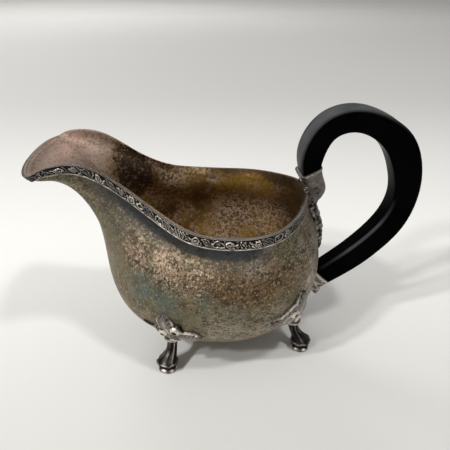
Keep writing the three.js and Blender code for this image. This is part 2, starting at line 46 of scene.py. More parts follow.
# The rim and belly as the maker's drawing gives them, in millimetres before the centring shift.
boat = {
    "shift": 0.75,
    # angle, place along x, half width, height
    "rim": [(0, -91.9, 0, 106.5), (10, -91, 13, 106.7), (18, -88.4, 24, 106.9), (23, -85.9, 28, 107.1),
            (29, -81.6, 28, 109.2), (38, -72, 25.4, 110.9), (48, -60, 23.9, 107.9), (58, -47, 24.8, 99.2),
            (68, -34, 30.4, 90.6), (80, -19.7, 38.8, 84.8), (92, -4, 41.4, 82.6), (104, 10.6, 39.6, 82.4),
            (118, 22.2, 32.4, 83.4), (134, 29.6, 22.5, 85.1), (150, 33.6, 14.2, 86.5), (165, 35.7, 6.9, 87.3),
            (180, 36.4, 0, 87.6)],
    # height, reach to the front, reach to the rear, half width
    "belly": [(14, 33, 27, 22), (26, 49, 42, 36.8), (45, 56.3, 48.8, 44.3), (65, 58.1, 47.4, 44.2)],
    "bellyX": -5,
    "bottomZ": 11,
    # shares of the wall's height at the rings, the cove, the band's foot and the rim
    "steps": [0, 0.2, 0.4, 0.59, 0.76, 0.926, 0.96, 1],
    "levelEdge": (0.975, 0.025),  # where the wall turns square to the rim, and over what share
    "step": 0.01,  # share of the height over which a direction is taken
    # angle, band in and down, cove back, sideways and down
    "underRim": [(0, 2.6, 2, 11.7, 0, 4.6), (14, 1.8, 2.3, 10.6, 4.4, 5.4), (20, 2.2, 1.9, 8.6, 5.9, 4.2),
                 (26, 1.9, 1.9, 6.6, 5.5, 4.9), (32, 1.3, 3.2, 6.6, 4.5, 7.8), (38, 0.95, 3.8, 5.5, 3.1, 9.6),
                 (50, 0.55, 4.8, 2.5, 1.6, 9), (60, 0.4, 4.9, 1.2, 1.1, 8.5), (70, 0.3, 5, 0.5, 1.1, 8),
                 (90, 0.3, 5, 0, 0.9, 8), (135, 0.3, 5, 0, 0.1, 8), (180, 0.3, 5, 0.8, 0, 8)],
    "wall": 1.2,
}


# A smooth curve through the values at the knots; levelEnds makes it start and end level.
def smoothThrough(knots, values, levelEnds):
    knots = np.array(knots, float)
    values = np.array(values, float)
    count = len(knots)
    gap = np.diff(knots)
    slope = np.diff(values) / gap
    share = [0.0] * count
    pull = [0.0] * count
    bend = np.zeros(count)
    if levelEnds:
        share[0] = -0.5
        pull[0] = 3 * slope[0] / gap[0]
    for i in range(1, count - 1):
        both = gap[i - 1] + gap[i]
        part = gap[i - 1] / both
        weight = part * share[i - 1] + 2
        share[i] = (part - 1) / weight
        pull[i] = (6 * (slope[i] - slope[i - 1]) / both - part * pull[i - 1]) / weight
    if levelEnds:
        endPull = -3 * slope[-1] / gap[-1]
        bend[-1] = (endPull - 0.5 * pull[count - 2]) / (0.5 * share[count - 2] + 1)
    for i in range(count - 2, -1, -1):
        bend[i] = share[i] * bend[i + 1] + pull[i]

    def at(place):
        place = np.asarray(place, float)
        i = np.clip(np.searchsorted(knots, place, side="left") - 1, 0, count - 2)
        h = gap[i]
        a = (knots[i + 1] - place) / h
        b = 1 - a
        return a * values[i] + b * values[i + 1] + ((a**3 - a) * bend[i] + (b**3 - b) * bend[i + 1]) * h * h / 6

    return at


def columnOf(rows, index):
    return [row[index] for row in rows]


def curveOf(rows, index, levelEnds):
    return smoothThrough(columnOf(rows, 0), columnOf(rows, index), levelEnds)


rimX = curveOf(boat["rim"], 1, True)
rimHalf = curveOf(boat["rim"], 2, False)
rimZ = curveOf(boat["rim"], 3, True)
bandIn = curveOf(boat["underRim"], 1, True)
bandDown = curveOf(boat["underRim"], 2, True)
coveBack = curveOf(boat["underRim"], 3, True)
coveSide = curveOf(boat["underRim"], 4, False)
coveDown = curveOf(boat["underRim"], 5, True)


def foldAngle(angle):  # the right side mirrors the left
    return 360 - angle if angle > 180 else angle


def rimPoint(angle):
    side = 1 if angle > 180 else -1
    turn = foldAngle(angle)
    return np.array([float(rimX(turn)), side * float(rimHalf(turn)), float(rimZ(turn))])


def bellyPoint(ring, angle):  # a ring of the belly reaches further to the front than to the rear
    height, front, rear, half = ring
    c = math.cos(math.radians(angle))
    reach = (front * (1 + c) + rear * (1 - c)) / 2
    return np.array([boat["bellyX"] - reach * c, -half * math.sin(math.radians(angle)), height])


def bandFoot(angle):  # the lower edge of the border's band
    turn = foldAngle(angle)
    middle = np.array([math.cos(math.radians(angle)), math.sin(math.radians(angle)), 0])
    place = rimPoint(angle) + middle * float(bandIn(turn))
    place[2] -= float(bandDown(turn))
    return place


def covePoint(angle):  # the deepest line of the hollow under the band
    turn = foldAngle(angle)
    side = -1 if angle > 180 else 1
    return rimPoint(angle) + np.array([float(coveBack(turn)), side * float(coveSide(turn)), -float(coveDown(turn))])


uprightLines = {}


def uprightLine(angle):  # the wall's line at one angle, from the middle of the bottom (0) to the rim (1)
    key = round(angle % 360, 5)
    if key not in uprightLines:
        points = [np.array([boat["bellyX"], 0, boat["bottomZ"]])]
        points += [bellyPoint(ring, key) for ring in boat["belly"]]
        points += [covePoint(key), bandFoot(key), rimPoint(key)]
        points = np.array(points)
        lengths = np.concatenate([[0], np.cumsum(np.linalg.norm(np.diff(points, axis=0), axis=1))])
        curves = [smoothThrough(lengths, points[:, axis], False) for axis in range(3)]

        def at(up):
            reached = np.interp(up, boat["steps"], lengths)
            return np.stack([curve(reached) for curve in curves], -1)

        uprightLines[key] = (at, lengths)
    return uprightLines[key]


def unit(vectors):
    return vectors / np.linalg.norm(vectors, axis=-1, keepdims=True)


def wallAt(angle, ups):  # points of the outer wall with the directions out of it
    ups = np.asarray(ups, float)
    step = boat["step"]
    low = np.clip(ups, step, 1 - step)
    at = uprightLine(angle)[0]
    upward = unit(at(low + step) - at(low - step))
    around = unit(uprightLine(angle + 1)[0](low) - uprightLine(angle - 1)[0](low))
    out = unit(np.cross(around, upward))
    levelFrom, levelOver = boat["levelEdge"]
    toLevel = np.clip((ups - levelFrom) / levelOver, 0, 1)[:, None]
    return at(ups), unit(out * (1 - toLevel) + unit(out * [1, 1, 0]) * toLevel)


def upAtHeight(angle, height):
    ups = np.linspace(0, boat["steps"][4], 400)
    heights = uprightLine(angle)[0](ups)[:, 2]
    return float(np.interp(height, heights, ups))


def bell(offset, width):  # 1 at the middle, falling away on both sides
    return np.exp(-((offset / width) ** 2))


def roundTop(offset, radius):  # 1 at the middle, falling to 0 at the radius as a half circle does
    return np.sqrt(np.clip(1 - (offset / radius) ** 2, 0, 1))


def easedAlong(table, way):  # each value eased towards its neighbours along one way of a table
    return table / 2 + (np.roll(table, 1, way) + np.roll(table, -1, way)) / 4


def inPlace(points):  # millimetres of the drawing to metres of the frame
    return (np.asarray(points, float) + [boat["shift"], 0, 0]) * mm


# A sheet that starts as a plain grid and takes its places from a table; both ways round it may close.
def sheetThrough(places, marks, capEnds=False):
    across, along = places.shape[0] - 1, places.shape[1] - 1
    sheet = bmesh.new()
    bmesh.ops.create_grid(sheet, x_segments=across, y_segments=along, size=0.5)
    shade = sheet.verts.layers.float.new("relief")
    for vertex in sheet.verts:
        i = round((vertex.co.x + 0.5) * across)
        j = round((vertex.co.y + 0.5) * along)
        vertex.co = places[i, j]
        vertex[shade] = marks[i, j]
    bmesh.ops.remove_doubles(sheet, verts=sheet.verts, dist=mergeWithin)
    bmesh.ops.dissolve_degenerate(sheet, edges=sheet.edges, dist=thinnest)
    if capEnds:
        rims = [edge for edge in sheet.edges if edge.is_boundary]
        bmesh.ops.holes_fill(sheet, edges=rims, sides=0)
    bmesh.ops.recalc_face_normals(sheet, faces=sheet.faces)
    return sheet


def mirrorSheet(sheet):
    bmesh.ops.scale(sheet, vec=(1, -1, 1), verts=sheet.verts)
    bmesh.ops.reverse_faces(sheet, faces=sheet.faces)
    return sheet


def joinInto(sheet, other):  # adds one bmesh to another and frees it
    carrier = bpy.data.meshes.new("carrier")
    other.to_mesh(carrier)
    other.free()
    sheet.from_mesh(carrier)
    bpy.data.meshes.remove(carrier)
    return sheet


def intoScene(name, data):
    thing = bpy.data.objects.new(name, data)
    bpy.context.scene.collection.objects.link(thing)
    return thing


def meshObject(name, sheet, materials):
    mesh = bpy.data.meshes.new(name)
    sheet.to_mesh(mesh)
    sheet.free()
    for material in materials:
        mesh.materials.append(material)
    mesh.polygons.foreach_set("use_smooth", [True] * len(mesh.polygons))
    return intoScene(name, mesh)


def finishPiece(name, sheet, materials, nodes):
    piece = meshObject(name, sheet, materials)
    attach(piece, "root")
    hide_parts(*nodes)


def setRange(node, low, high, toLow, toHigh):
    for key, number in (("From Min", low), ("From Max", high), ("To Min", toLow), ("To Max", toHigh)):
        node.inputs[key].default_value = number


# One material and the nodes that colour it.
class Wiring:
    def __init__(self, name):
        self.material = bpy.data.materials.new(name)
        self.material.use_nodes = True
        self.nodes = self.material.node_tree.nodes
        self.links = self.material.node_tree.links
        self.nodes.clear()
        output = self.nodes.new("ShaderNodeOutputMaterial")
        self.shader = self.nodes.new("ShaderNodeBsdfPrincipled")
        self.links.new(self.shader.outputs["BSDF"], output.inputs["Surface"])
        self.place = self.nodes.new("ShaderNodeTexCoord").outputs["Object"]

    def feed(self, socket, value):
        if isinstance(value, bpy.types.NodeSocket):
            self.links.new(value, socket)
        elif isinstance(value, (tuple, list)) and len(value) == 3 and socket.type == "RGBA":
            socket.default_value = (*value, 1)
        else:
            socket.default_value = value

    def noise(self, scale, detail, rough, offset=(0, 0, 0), stretch=(1, 1, 1)):
        mapping = self.nodes.new("ShaderNodeMapping")
        self.links.new(self.place, mapping.inputs["Vector"])
        mapping.inputs["Scale"].default_value = stretch
        mapping.inputs["Location"].default_value = offset
        texture = self.nodes.new("ShaderNodeTexNoise")
        self.links.new(mapping.outputs["Vector"], texture.inputs["Vector"])
        for key, number in (("Scale", scale), ("Detail", detail), ("Roughness", rough)):
            texture.inputs[key].default_value = number
        return texture.outputs["Fac"]

    def span(self, value, low, high, toLow=0, toHigh=1, smooth=True):
        node = self.nodes.new("ShaderNodeMapRange")
        node.interpolation_type = "SMOOTHSTEP" if smooth else "LINEAR"
        self.feed(node.inputs["Value"], value)
        setRange(node, low, high, toLow, toHigh)
        return node.outputs["Result"]

    def spread(self, noise, toLow, toHigh):  # most of a noise lies between 0.3 and 0.7
        return self.span(noise, 0.3, 0.7, toLow, toHigh)

    def maths(self, operation, first, second=0.0, clamp=False):
        node = self.nodes.new("ShaderNodeMath")
        node.operation = operation
        node.use_clamp = clamp
        self.feed(node.inputs[0], first)
        self.feed(node.inputs[1], second)
        return node.outputs["Value"]

    def plus(self, first, second, clamp=False):
        return self.maths("ADD", first, second, clamp)

    def times(self, first, second):
        return self.maths("MULTIPLY", first, second)

    def sway(self, noise, size):  # a noise about zero, half of size to either side
        return self.times(self.maths("SUBTRACT", noise, 0.5), size)

    def mix(self, share, first, second):  # inputs 6 and 7 and output 2 are the node's colours
        node = self.nodes.new("ShaderNodeMix")
        node.data_type = "RGBA"
        self.feed(node.inputs[0], share)
        self.feed(node.inputs[6], first)
        self.feed(node.inputs[7], second)
        return node.outputs[2]

    def folded(self):  # the place with the right side folded over onto the left
        parts = self.nodes.new("ShaderNodeSeparateXYZ")
        self.links.new(self.place, parts.inputs["Vector"])
        joined = self.nodes.new("ShaderNodeCombineXYZ")
        for name in ("X", "Z"):
            self.links.new(parts.outputs[name], joined.inputs[name])
        left = self.times(self.maths("ABSOLUTE", parts.outputs["Y"]), -1.0)
        self.links.new(left, joined.inputs["Y"])
        return joined.outputs["Vector"]

    def away(self, centre, stretch=(1, 1, 1), source=None):  # distance from a place of the drawing, in metres
        vector = source or self.place
        for operation, value in (("SUBTRACT", tuple(inPlace(centre))), ("MULTIPLY", stretch)):
            node = self.nodes.new("ShaderNodeVectorMath")
            node.operation = operation
            self.links.new(vector, node.inputs[0])
            node.inputs[1].default_value = value
            vector = node.outputs["Vector"]
        length = self.nodes.new("ShaderNodeVectorMath")
        length.operation = "LENGTH"
        self.links.new(vector, length.inputs[0])
        return length.outputs["Value"]

    def cover(self, centre, reach, strength, source, wobble):  # a patch with a ragged edge, that fades outwards
        far = self.plus(self.away(centre, source=source), wobble)
        fadeFrom, fadeTo = 0.2, 1.2
        return self.span(far, reach * mm * fadeFrom, reach * mm * fadeTo, strength, 0)

    def axis(self, name):
        node = self.nodes.new("ShaderNodeSeparateXYZ")
        self.links.new(self.place, node.inputs["Vector"])
        return node.outputs[name]

    def mark(self):  # the relief stored on the mesh
        node = self.nodes.new("ShaderNodeAttribute")
        node.attribute_name = "relief"
        return node.outputs["Fac"]

    def bump(self, height, strength, distance):
        node = self.nodes.new("ShaderNodeBump")
        self.feed(node.inputs["Height"], height)
        node.inputs["Strength"].default_value = strength
        node.inputs["Distance"].default_value = distance
        self.links.new(node.outputs["Normal"], self.shader.inputs["Normal"])

    def dress(self, colour, roughness, metallic=0.0):
        self.feed(self.shader.inputs["Base Color"], colour)
        self.feed(self.shader.inputs["Roughness"], roughness)
        self.shader.inputs["Metallic"].default_value = metallic


# Tarnished silver of the bowl's outside, with painted shade under the band and a painted highlight on the belly.
outsideLook = {
    "brown": (0.26, 0.19, 0.115),
    "olive": (0.185, 0.17, 0.10),
    # tan tarnish, which the tan patches on the front of the belly also use as a painted highlight
    "tanAndHighlight": (0.355, 0.255, 0.175),
    "rust": (0.18, 0.105, 0.045),
    "teal": (0.122, 0.165, 0.148),
    # painted shade under the band, slate-tinted
    "slateShade": (0.062, 0.070, 0.076),
    "grey": (0.46, 0.40, 0.34),
    "pits": (0.045, 0.032, 0.020),
    "glint": (0.54, 0.43, 0.32),
    "edge": (0.21, 0.20, 0.187),
    "edgeFront": (0.20, 0.155, 0.13),
    "metallic": 0.92, "roughness": (0.40, 0.58), "bump": (0.85, 0.0008), "patchStrength": 0.9,
    "wobble": (0.03, 0.02), "grit": (0.6, 0.55, 0.75), "glintsOnHighlight": 0.35, "glintsElsewhere": 0.5, "hollowSway": 0.12,
    "heights": (0.8, 0.6, 0.9),  # share of the speck, the fine and the drift noise in the bump
    # scale, detail, roughness, offset and stretch
    "noises": {"broad": (38, 5, 0.6, (0.3, 0.1, 0)), "drift": (110, 6, 0.62, (1.4, 0.3, 2)),
               "speck": (300, 7, 0.8, (0.2, 2.1, 0)), "fine": (1050, 3, 0.6), "grain": (820, 3, 0.65, (3.2, 0.4, 1)),
               "scratch": (260, 5, 0.7, (0, 3, 0), (0.45, 1, 2.6))},
    # the values between which each layer comes in, and its strength at either end
    "spans": {"olive": (0.38, 0.62), "tanAndHighlight": (0.55, 0.7, 0, 0.25), "hollow": (0.03, 0.17, 0, 0.95), "edge": (0.3, 0.4),
              "speckPits": (0.50, 0.57, 0, 0.85), "finePits": (0.51, 0.58, 0, 0.8), "bottom": (0.024, 0.046, 0.5, 0),
              "scratches": (0.52, 0.6), "glints": (0.55, 0.63), "glintsInShade": (0, 0.6, 1, 0.2),
              "glintsInGrit": (0.1, 0.9, 0.3, 1.2), "frontToRear": (-0.03, 0.005)},
    # centre, reach, finish, strength
    # the slate patches just under the band are painted shade
    "patches": [((-50, -26, 88), 20, "slateShade", 0.8), ((-30, -31, 79), 11, "slateShade", 0.9),
                ((-5, -41, 73), 13, "slateShade", 0.75), ((10, -40, 73), 9, "slateShade", 0.5),
                ((-60, -18, 75), 17, "olive", 0.8), ((-53, -26, 60), 14, "olive", 0.7),
                # the tan patches on the front of the belly are tan tarnish with a painted highlight
                ((-44, -31, 71), 10, "tanAndHighlight", 0.9), ((-31, -38, 67), 12, "tanAndHighlight", 1.0), ((-18, -44, 62), 10, "tanAndHighlight", 0.85),
                ((-23, -42, 62), 7, "rust", 0.5), ((-9, -45, 61), 10, "rust", 0.8), ((7, -45, 57), 12, "rust", 0.8),
                ((-2, -45, 54), 9, "rust", 0.6), ((-42, -34, 55), 11, "teal", 0.85),
                ((-31, -39, 50), 9, "teal", 0.75), ((-16, -45, 53), 7, "teal", 0.6), ((-2, -45, 46), 8, "teal", 0.5),
                ((-23, -41, 40), 10, "olive", 0.7), ((-6, -42, 34), 13, "grey", 0.6),
                ((13, -36, 33), 14, "grey", 0.45), ((10, -41, 70), 8, "grey", 0.4), ((26, -34, 58), 13, "rust", 0.5),
                ((37, -22, 56), 13, "grey", 0.9), ((33, -26, 42), 11, "grey", 0.8), ((24, -32, 36), 9, "grey", 0.6),
                ((17, -40, 63), 9, "rust", 0.6), ((30, -28, 68), 8, "grey", 0.6)],
}


def makeOutside():
    w = Wiring("tarnished_silver_outside")
    look, spans = outsideLook, outsideLook["spans"]
    broad, drift, speck, fine, grain, scratch = [w.noise(*noise) for noise in look["noises"].values()]
    colour = w.mix(w.span(broad, *spans["olive"]), look["brown"], look["olive"])
    wobble = w.plus(w.sway(drift, look["wobble"][0]), w.sway(speck, look["wobble"][1]))
    folded = w.folded()
    bright = grainy = even = 0
    for centre, reach, finish, strength in look["patches"]:
        cover = w.cover(centre, reach, strength * look["patchStrength"], folded, wobble)
        colour = w.mix(cover, colour, look[finish])
        # the tan patches' cover marks the painted highlight, which takes more glints
        if finish == "tanAndHighlight":
            bright = w.maths("MAXIMUM", cover, bright)
        if finish in ("tanAndHighlight", "rust", "grey"):
            grainy = w.maths("MAXIMUM", cover, grainy)
        else:
            even = w.maths("MAXIMUM", cover, even)
    onGrainy, onEven, overall = look["grit"]  # how gritty the patches and the rest are
    grit = w.maths("SUBTRACT", w.times(grainy, onGrainy), w.times(even, onEven))
    grit = w.plus(grit, overall, clamp=True)
    colour = w.mix(w.span(drift, *spans["tanAndHighlight"]), colour, look["tanAndHighlight"])
    # painted shade in the hollow under the band, from the relief marks and a little noise
    hollow = w.span(w.plus(w.mark(), w.sway(drift, look["hollowSway"])), *spans["hollow"])
    colour = w.mix(hollow, colour, look["slateShade"])
    for grains, layer in ((speck, "speckPits"), (fine, "finePits")):
        colour = w.mix(w.times(w.span(grains, *spans[layer]), grit), colour, look["pits"])
    low = w.span(w.axis("Z"), *spans["bottom"])
    colour = w.mix(w.times(w.span(scratch, *spans["scratches"]), low), colour, look["glint"])
    glinting = w.plus(w.times(bright, look["glintsOnHighlight"]), look["glintsElsewhere"])
    glints = w.times(w.span(grain, *spans["glints"]), glinting)
    glints = w.times(glints, w.span(hollow, *spans["glintsInShade"]))
    glints = w.times(glints, w.span(grit, *spans["glintsInGrit"], smooth=False))
    colour = w.mix(glints, colour, look["glint"])
    edge = w.mix(w.span(w.axis("X"), *spans["frontToRear"]), look["edgeFront"], look["edge"])
    colour = w.mix(w.span(w.mark(), *spans["edge"]), colour, edge)
    w.dress(colour, w.spread(drift, *look["roughness"]), look["metallic"])
    ofSpeck, ofFine, ofDrift = look["heights"]
    height = w.plus(w.times(speck, ofSpeck), w.times(fine, ofFine))
    w.bump(w.plus(height, w.times(drift, ofDrift)), *look["bump"])
    return w.material


# Worn gilding of the bowl's inside.
insideLook = {
    "amber": (0.335, 0.198, 0.038),
    "deep": (0.12, 0.066, 0.020),
    "wear": (0.58, 0.44, 0.34),
    "rose": (0.33, 0.255, 0.215),
    "glow": (0.46, 0.31, 0.25),
    "glowAt": (-80, 18, 107),
    "dark": (0.030, 0.016, 0.010),
    "darkAt": (-49, 21.5, 89),
    "darkStretch": (1.5, 0.8, 0.85),
    "metallic": 0.8, "roughness": (0.5, 0.62), "bump": (0.5, 0.0005), "wornStrength": 0.72,
    "wobble": 0.03, "wobbleUp": 0.35, "wobbleAlong": 0.6,
    "heights": (0.5, 0.6),  # share of the fine and the speck noise in the bump
    # scale, detail, roughness and offset
    "noises": {"broad": (48, 5, 0.6, (2, 0, 0)), "blots": (95, 6, 0.7, (0, 5, 0)), "flecks": (640, 4, 0.7, (4, 2, 1)),
               "fine": (1100, 3, 0.6), "speck": (480, 5, 0.72, (1, 2, 3))},
    # the values between which each layer comes in, and its strength at either end
    "spans": {"amber": (0.38, 0.66), "wornBlots": (0.40, 0.58), "wornFlecks": (0.46, 0.53),
              "patchFlecks": (0.45, 0.52), "underRim": (0.0755, 0.0815, 0, 0.88), "behindLip": (-0.018, 0.004),
              "rearHeight": (0.050, 0.076, 0.2, 0.85), "rearReach": (0.024, 0.035), "lip": (-0.070, -0.046, 0.9, 0),
              "lipRoughness": (-0.070, -0.046, 0.14, 0), "glow": (0.0, 0.018, 0.6, 0),
              "throat": (0.011, 0.017, 0.95, 0), "speck": (0.54, 0.64, 0, 0.5), "fine": (0.52, 0.64, 0, 0.5),
              "glints": (0.56, 0.62, 0, 0.5), "glintsInThroat": (0.017, 0.012)},
    # centre, reach, finish, strength
    "patches": [((5, -39, 71), 10, "amber", 0.7), ((19.5, -33, 72), 10, "amber", 0.8),
                ((30, -21, 73), 8, "amber", 0.7), ((10.5, -40, 40), 8, "amber", 0.6),
                ((-13, -44, 59), 9, "deep", 0.6), ((-16, -38, 74), 7, "deep", 0.5), ((37, -22, 57), 9, "deep", 0.6),
                ((5, -44, 57), 12, "wear", 0.85), ((20.5, -38, 56), 12, "wear", 0.85),
                ((29.6, -31.7, 59), 8, "wear", 0.7), ((-29.7, -30, 79), 8, "wear", 0.75),
                ((-26, -34, 83), 6, "wear", 0.6), ((-3, -43, 44), 9, "wear", 0.7)],
}


def makeInside():
    w = Wiring("worn_gilding_inside")
    look, spans = insideLook, insideLook["spans"]
    broad, blots, flecks, fine, speck = [w.noise(*noise) for noise in look["noises"].values()]
    colour = w.mix(w.span(broad, *spans["amber"]), look["deep"], look["amber"])
    worn = w.times(w.span(blots, *spans["wornBlots"]), w.span(flecks, *spans["wornFlecks"]))
    colour = w.mix(w.times(worn, look["wornStrength"]), colour, look["wear"])
    wobble = w.plus(w.sway(blots, look["wobble"]), w.sway(speck, look["wobble"]))
    folded = w.folded()
    for centre, reach, finish, strength in look["patches"]:
        cover = w.cover(centre, reach, strength, folded, wobble)
        if finish == "wear":
            cover = w.times(cover, w.span(flecks, *spans["patchFlecks"]))
        colour = w.mix(cover, colour, look[finish])
    height = w.plus(w.axis("Z"), w.times(wobble, look["wobbleUp"]))
    reach = w.plus(w.axis("X"), w.times(wobble, look["wobbleAlong"]))
    underRim = w.times(w.span(height, *spans["underRim"]), w.span(reach, *spans["behindLip"]))
    atRear = w.times(w.span(height, *spans["rearHeight"]), w.span(reach, *spans["rearReach"]))
    colour = w.mix(w.maths("MAXIMUM", underRim, atRear), colour, look["dark"])
    lip = w.plus(w.axis("X"), wobble)
    colour = w.mix(w.span(lip, *spans["lip"]), colour, look["rose"])
    glow = w.plus(w.away(look["glowAt"]), wobble)
    colour = w.mix(w.span(glow, *spans["glow"]), colour, look["glow"])
    throat = w.plus(w.away(look["darkAt"], look["darkStretch"]), wobble)
    colour = w.mix(w.span(throat, *spans["throat"]), colour, look["dark"])
    for grains, layer in ((speck, "speck"), (fine, "fine")):
        colour = w.mix(w.span(grains, *spans[layer]), colour, look["deep"])
    glints = w.times(w.span(flecks, *spans["glints"]), w.span(throat, *spans["glintsInThroat"]))
    colour = w.mix(glints, colour, look["glow"])
    roughness = w.plus(w.spread(blots, *look["roughness"]), w.span(lip, *spans["lipRoughness"]))
    w.dress(colour, roughness, look["metallic"])
    ofFine, ofSpeck = look["heights"]
    w.bump(w.plus(w.times(fine, ofFine), w.plus(blots, w.times(speck, ofSpeck))), *look["bump"])
    return w.material


# Cast silver: bright on the high places, oxidised in the hollows, by the relief stored on the mesh.
castLook = {
    "high": (0.80, 0.73, 0.64),
    "middle": (0.185, 0.165, 0.148),
    "hollow": (0.014, 0.012, 0.011),
    "metallic": 0.85, "roughness": (0.36, 0.5), "bump": (0.35, 0.0003), "sway": 0.6,
    # scale, detail, roughness and offset
    "noises": {"drift": (160, 5, 0.6, (0.7, 0, 1)), "fine": (1100, 4, 0.6), "speck": (620, 4, 0.7, (2.3, 1, 0.4))},
    "spans": {"middle": (0.12, 0.5), "high": (0.55, 0.95), "fine": (0.57, 0.7, 0, 0.45)},
    # strength of the bright tone on the high places, and how far the whole is lifted towards it
    "castings": (0.62, 0.0), "feet": (1.0, 0.0), "pins": (0.62, 0.54),
}


def makeCast(name, lighter, lift):
    w = Wiring(name)
    look, spans = castLook, castLook["spans"]
    drift, fine, speck = [w.noise(*noise) for noise in look["noises"].values()]
    relief = w.plus(w.plus(w.mark(), lift), w.sway(drift, look["sway"]))
    relief = w.plus(relief, w.sway(speck, look["sway"]))
    colour = w.mix(w.span(relief, *spans["middle"]), look["hollow"], look["middle"])
    colour = w.mix(w.span(relief, *spans["high"], 0, lighter), colour, look["high"])
    colour = w.mix(w.span(fine, *spans["fine"]), colour, look["hollow"])
    w.dress(colour, w.spread(drift, *look["roughness"]), look["metallic"])
    w.bump(w.plus(fine, drift), *look["bump"])
    return w.material


# Polished black of the handle, with painted sheen and highlights where it is marked.
blackLook = {
    "deep": (0.0006, 0.0006, 0.0008), "soft": (0.0012, 0.0012, 0.0012), "paintedSheen": (0.075, 0.076, 0.08),
    "shine": 0.008, "roughness": (0.24, 0.34), "bump": (0.12, 0.0004), "hair": 0.1,
    # scale, detail, roughness, offset and stretch
    "noises": {"drift": (60, 4, 0.5, (0, 0, 0), (1, 2, 1)), "hair": (1500, 3, 0.5, (0, 0, 0), (1, 0.15, 1))},
    "spans": {"soft": (0.35, 0.65), "paintedSheen": (0.3, 0.7, 0.6, 1)},
}


def makeBlack():
    w = Wiring("polished_black")
    look, spans = blackLook, blackLook["spans"]
    drift, hair = [w.noise(*noise) for noise in look["noises"].values()]
    colour = w.mix(w.span(drift, *spans["soft"]), look["deep"], look["soft"])
    # painted sheen and painted highlight where the handle is marked
    sheenMarks = w.times(w.mark(), w.span(drift, *spans["paintedSheen"]))
    colour = w.mix(sheenMarks, colour, look["paintedSheen"])
    w.dress(colour, w.spread(drift, *look["roughness"]))
    w.shader.inputs["Specular IOR Level"].default_value = look["shine"]
    w.bump(w.plus(drift, w.times(hair, look["hair"])), *look["bump"])
    return w.material


outsideSilver = makeOutside()
insideGilding = makeInside()
castSilver = makeCast("cast_silver", *castLook["castings"])
footSilver = makeCast("cast_foot_silver", *castLook["feet"])
pinSilver = makeCast("pin_silver", *castLook["pins"])
blackHandle = makeBlack()
print("materials made")


# Bowl: outer wall, rounded rim and inner wall as one closed skin.
bowlPlan = {
    "columns": 300, "outerRows": 110, "rimRows": 8, "innerRows": 84, "rowsToRim": 1.3, "crowding": 8, "rimCrown": 0.3,
    # shares of the wall's height between which the inside is eased, how much, and how far it may move
    "easings": 60, "easeAt": [0.6, 0.8, 0.97, 1], "easeBy": [0, 1, 1, 0], "easeLimit": 0.4,
    "edgeLength": 0.012, "edgeMark": 0.5,  # the bare edge of the metal
    "coveFrom": 0.868, "coveOver": 0.03, "coveShadeMark": 0.25,  # painted shade in the hollow under the band
    # angles round the rim, and how strong the painted shade is there
    "coveAngles": [30, 48, 62, 94, 107, 130], "coveShadeStrengths": [0.15, 0.45, 1, 1, 0.3, 0],
    "insideFrom": 1.2, "insideMark": 1.0,  # the crown counts as inside past this turn
}


def crowdedAngle(column):  # columns stand closer together at the lip and at the rear
    angle = column % bowlPlan["columns"] * 360 / bowlPlan["columns"]
    return angle - bowlPlan["crowding"] * math.sin(math.radians(2 * angle))


def easedInside(insides, outs, ups):  # softens the crease where the lip meets the side
    plan = bowlPlan
    start = insides.copy()
    ease = np.interp(ups, plan["easeAt"], plan["easeBy"])[None, :, None]
    for turn in range(plan["easings"]):
        around = insides[:-1]
        around = around + (easedAlong(around, 0) - around) * ease
        insides = np.concatenate([around, around[:1]])
    outward = ((insides - start) * outs).sum(-1, keepdims=True)
    return insides - outs * np.maximum(outward - boat["wall"] * plan["easeLimit"], 0)  # leaves metal between the skins


def makeBowl():
    plan = bowlPlan
    wall = boat["wall"]
    outerUps = 1 - (1 - np.linspace(0, 1, plan["outerRows"] + 1)) ** plan["rowsToRim"]
    innerUps = 1 - np.linspace(0, 1, plan["innerRows"] + 1) ** plan["rowsToRim"]
    swing = np.linspace(0, math.pi, plan["rimRows"] + 2)[1:-1]
    edge = np.clip(1 - (1 - outerUps) / plan["edgeLength"], 0, 1) * plan["edgeMark"]
    # painted shade under the band, stored in the relief
    coveShade = plan["coveShadeMark"] * np.clip((outerUps - plan["coveFrom"]) / plan["coveOver"], 0, 1)
    crownMark = np.where(swing > plan["insideFrom"], plan["insideMark"], plan["edgeMark"])
    innerMark = np.full(len(innerUps), plan["insideMark"])
    outsides = []
    insides = []
    innerOuts = []
    marks = []
    for column in range(plan["columns"] + 1):
        angle = crowdedAngle(column)
        outer, out = wallAt(angle, outerUps)
        inner, innerOut = wallAt(angle, innerUps)
        crown = outer[-1] - out[-1] * wall / 2 + np.outer(np.cos(swing), out[-1]) * wall / 2
        crown[:, 2] += np.sin(swing) * plan["rimCrown"]
        innerWall = inner - innerOut * wall
        outer[0] = [boat["bellyX"], 0, boat["bottomZ"]]
        innerWall[-1] = [boat["bellyX"], 0, boat["bottomZ"] + wall]
        outsides.append(np.concatenate([outer, crown]))
        insides.append(innerWall)
        innerOuts.append(innerOut)
        depth = np.interp(foldAngle(angle), plan["coveAngles"], plan["coveShadeStrengths"])
        marks.append(np.concatenate([np.maximum(edge, coveShade * depth), crownMark, innerMark]))
    insides = easedInside(np.array(insides), np.array(innerOuts), innerUps)
    places = np.concatenate([np.array(outsides), insides], axis=1)
    sheet = sheetThrough(inPlace(places), np.array(marks))
    shade = sheet.verts.layers.float["relief"]
    for face in sheet.faces:  # the gilding takes the faces that are marked as inside at every corner
        face.material_index = 1 if all(vertex[shade] > 0.9 for vertex in face.verts) else 0
    finishPiece("bowl_metal", sheet, [outsideSilver, insideGilding], ["bowl"])


makeBowl()
print("bowl made")


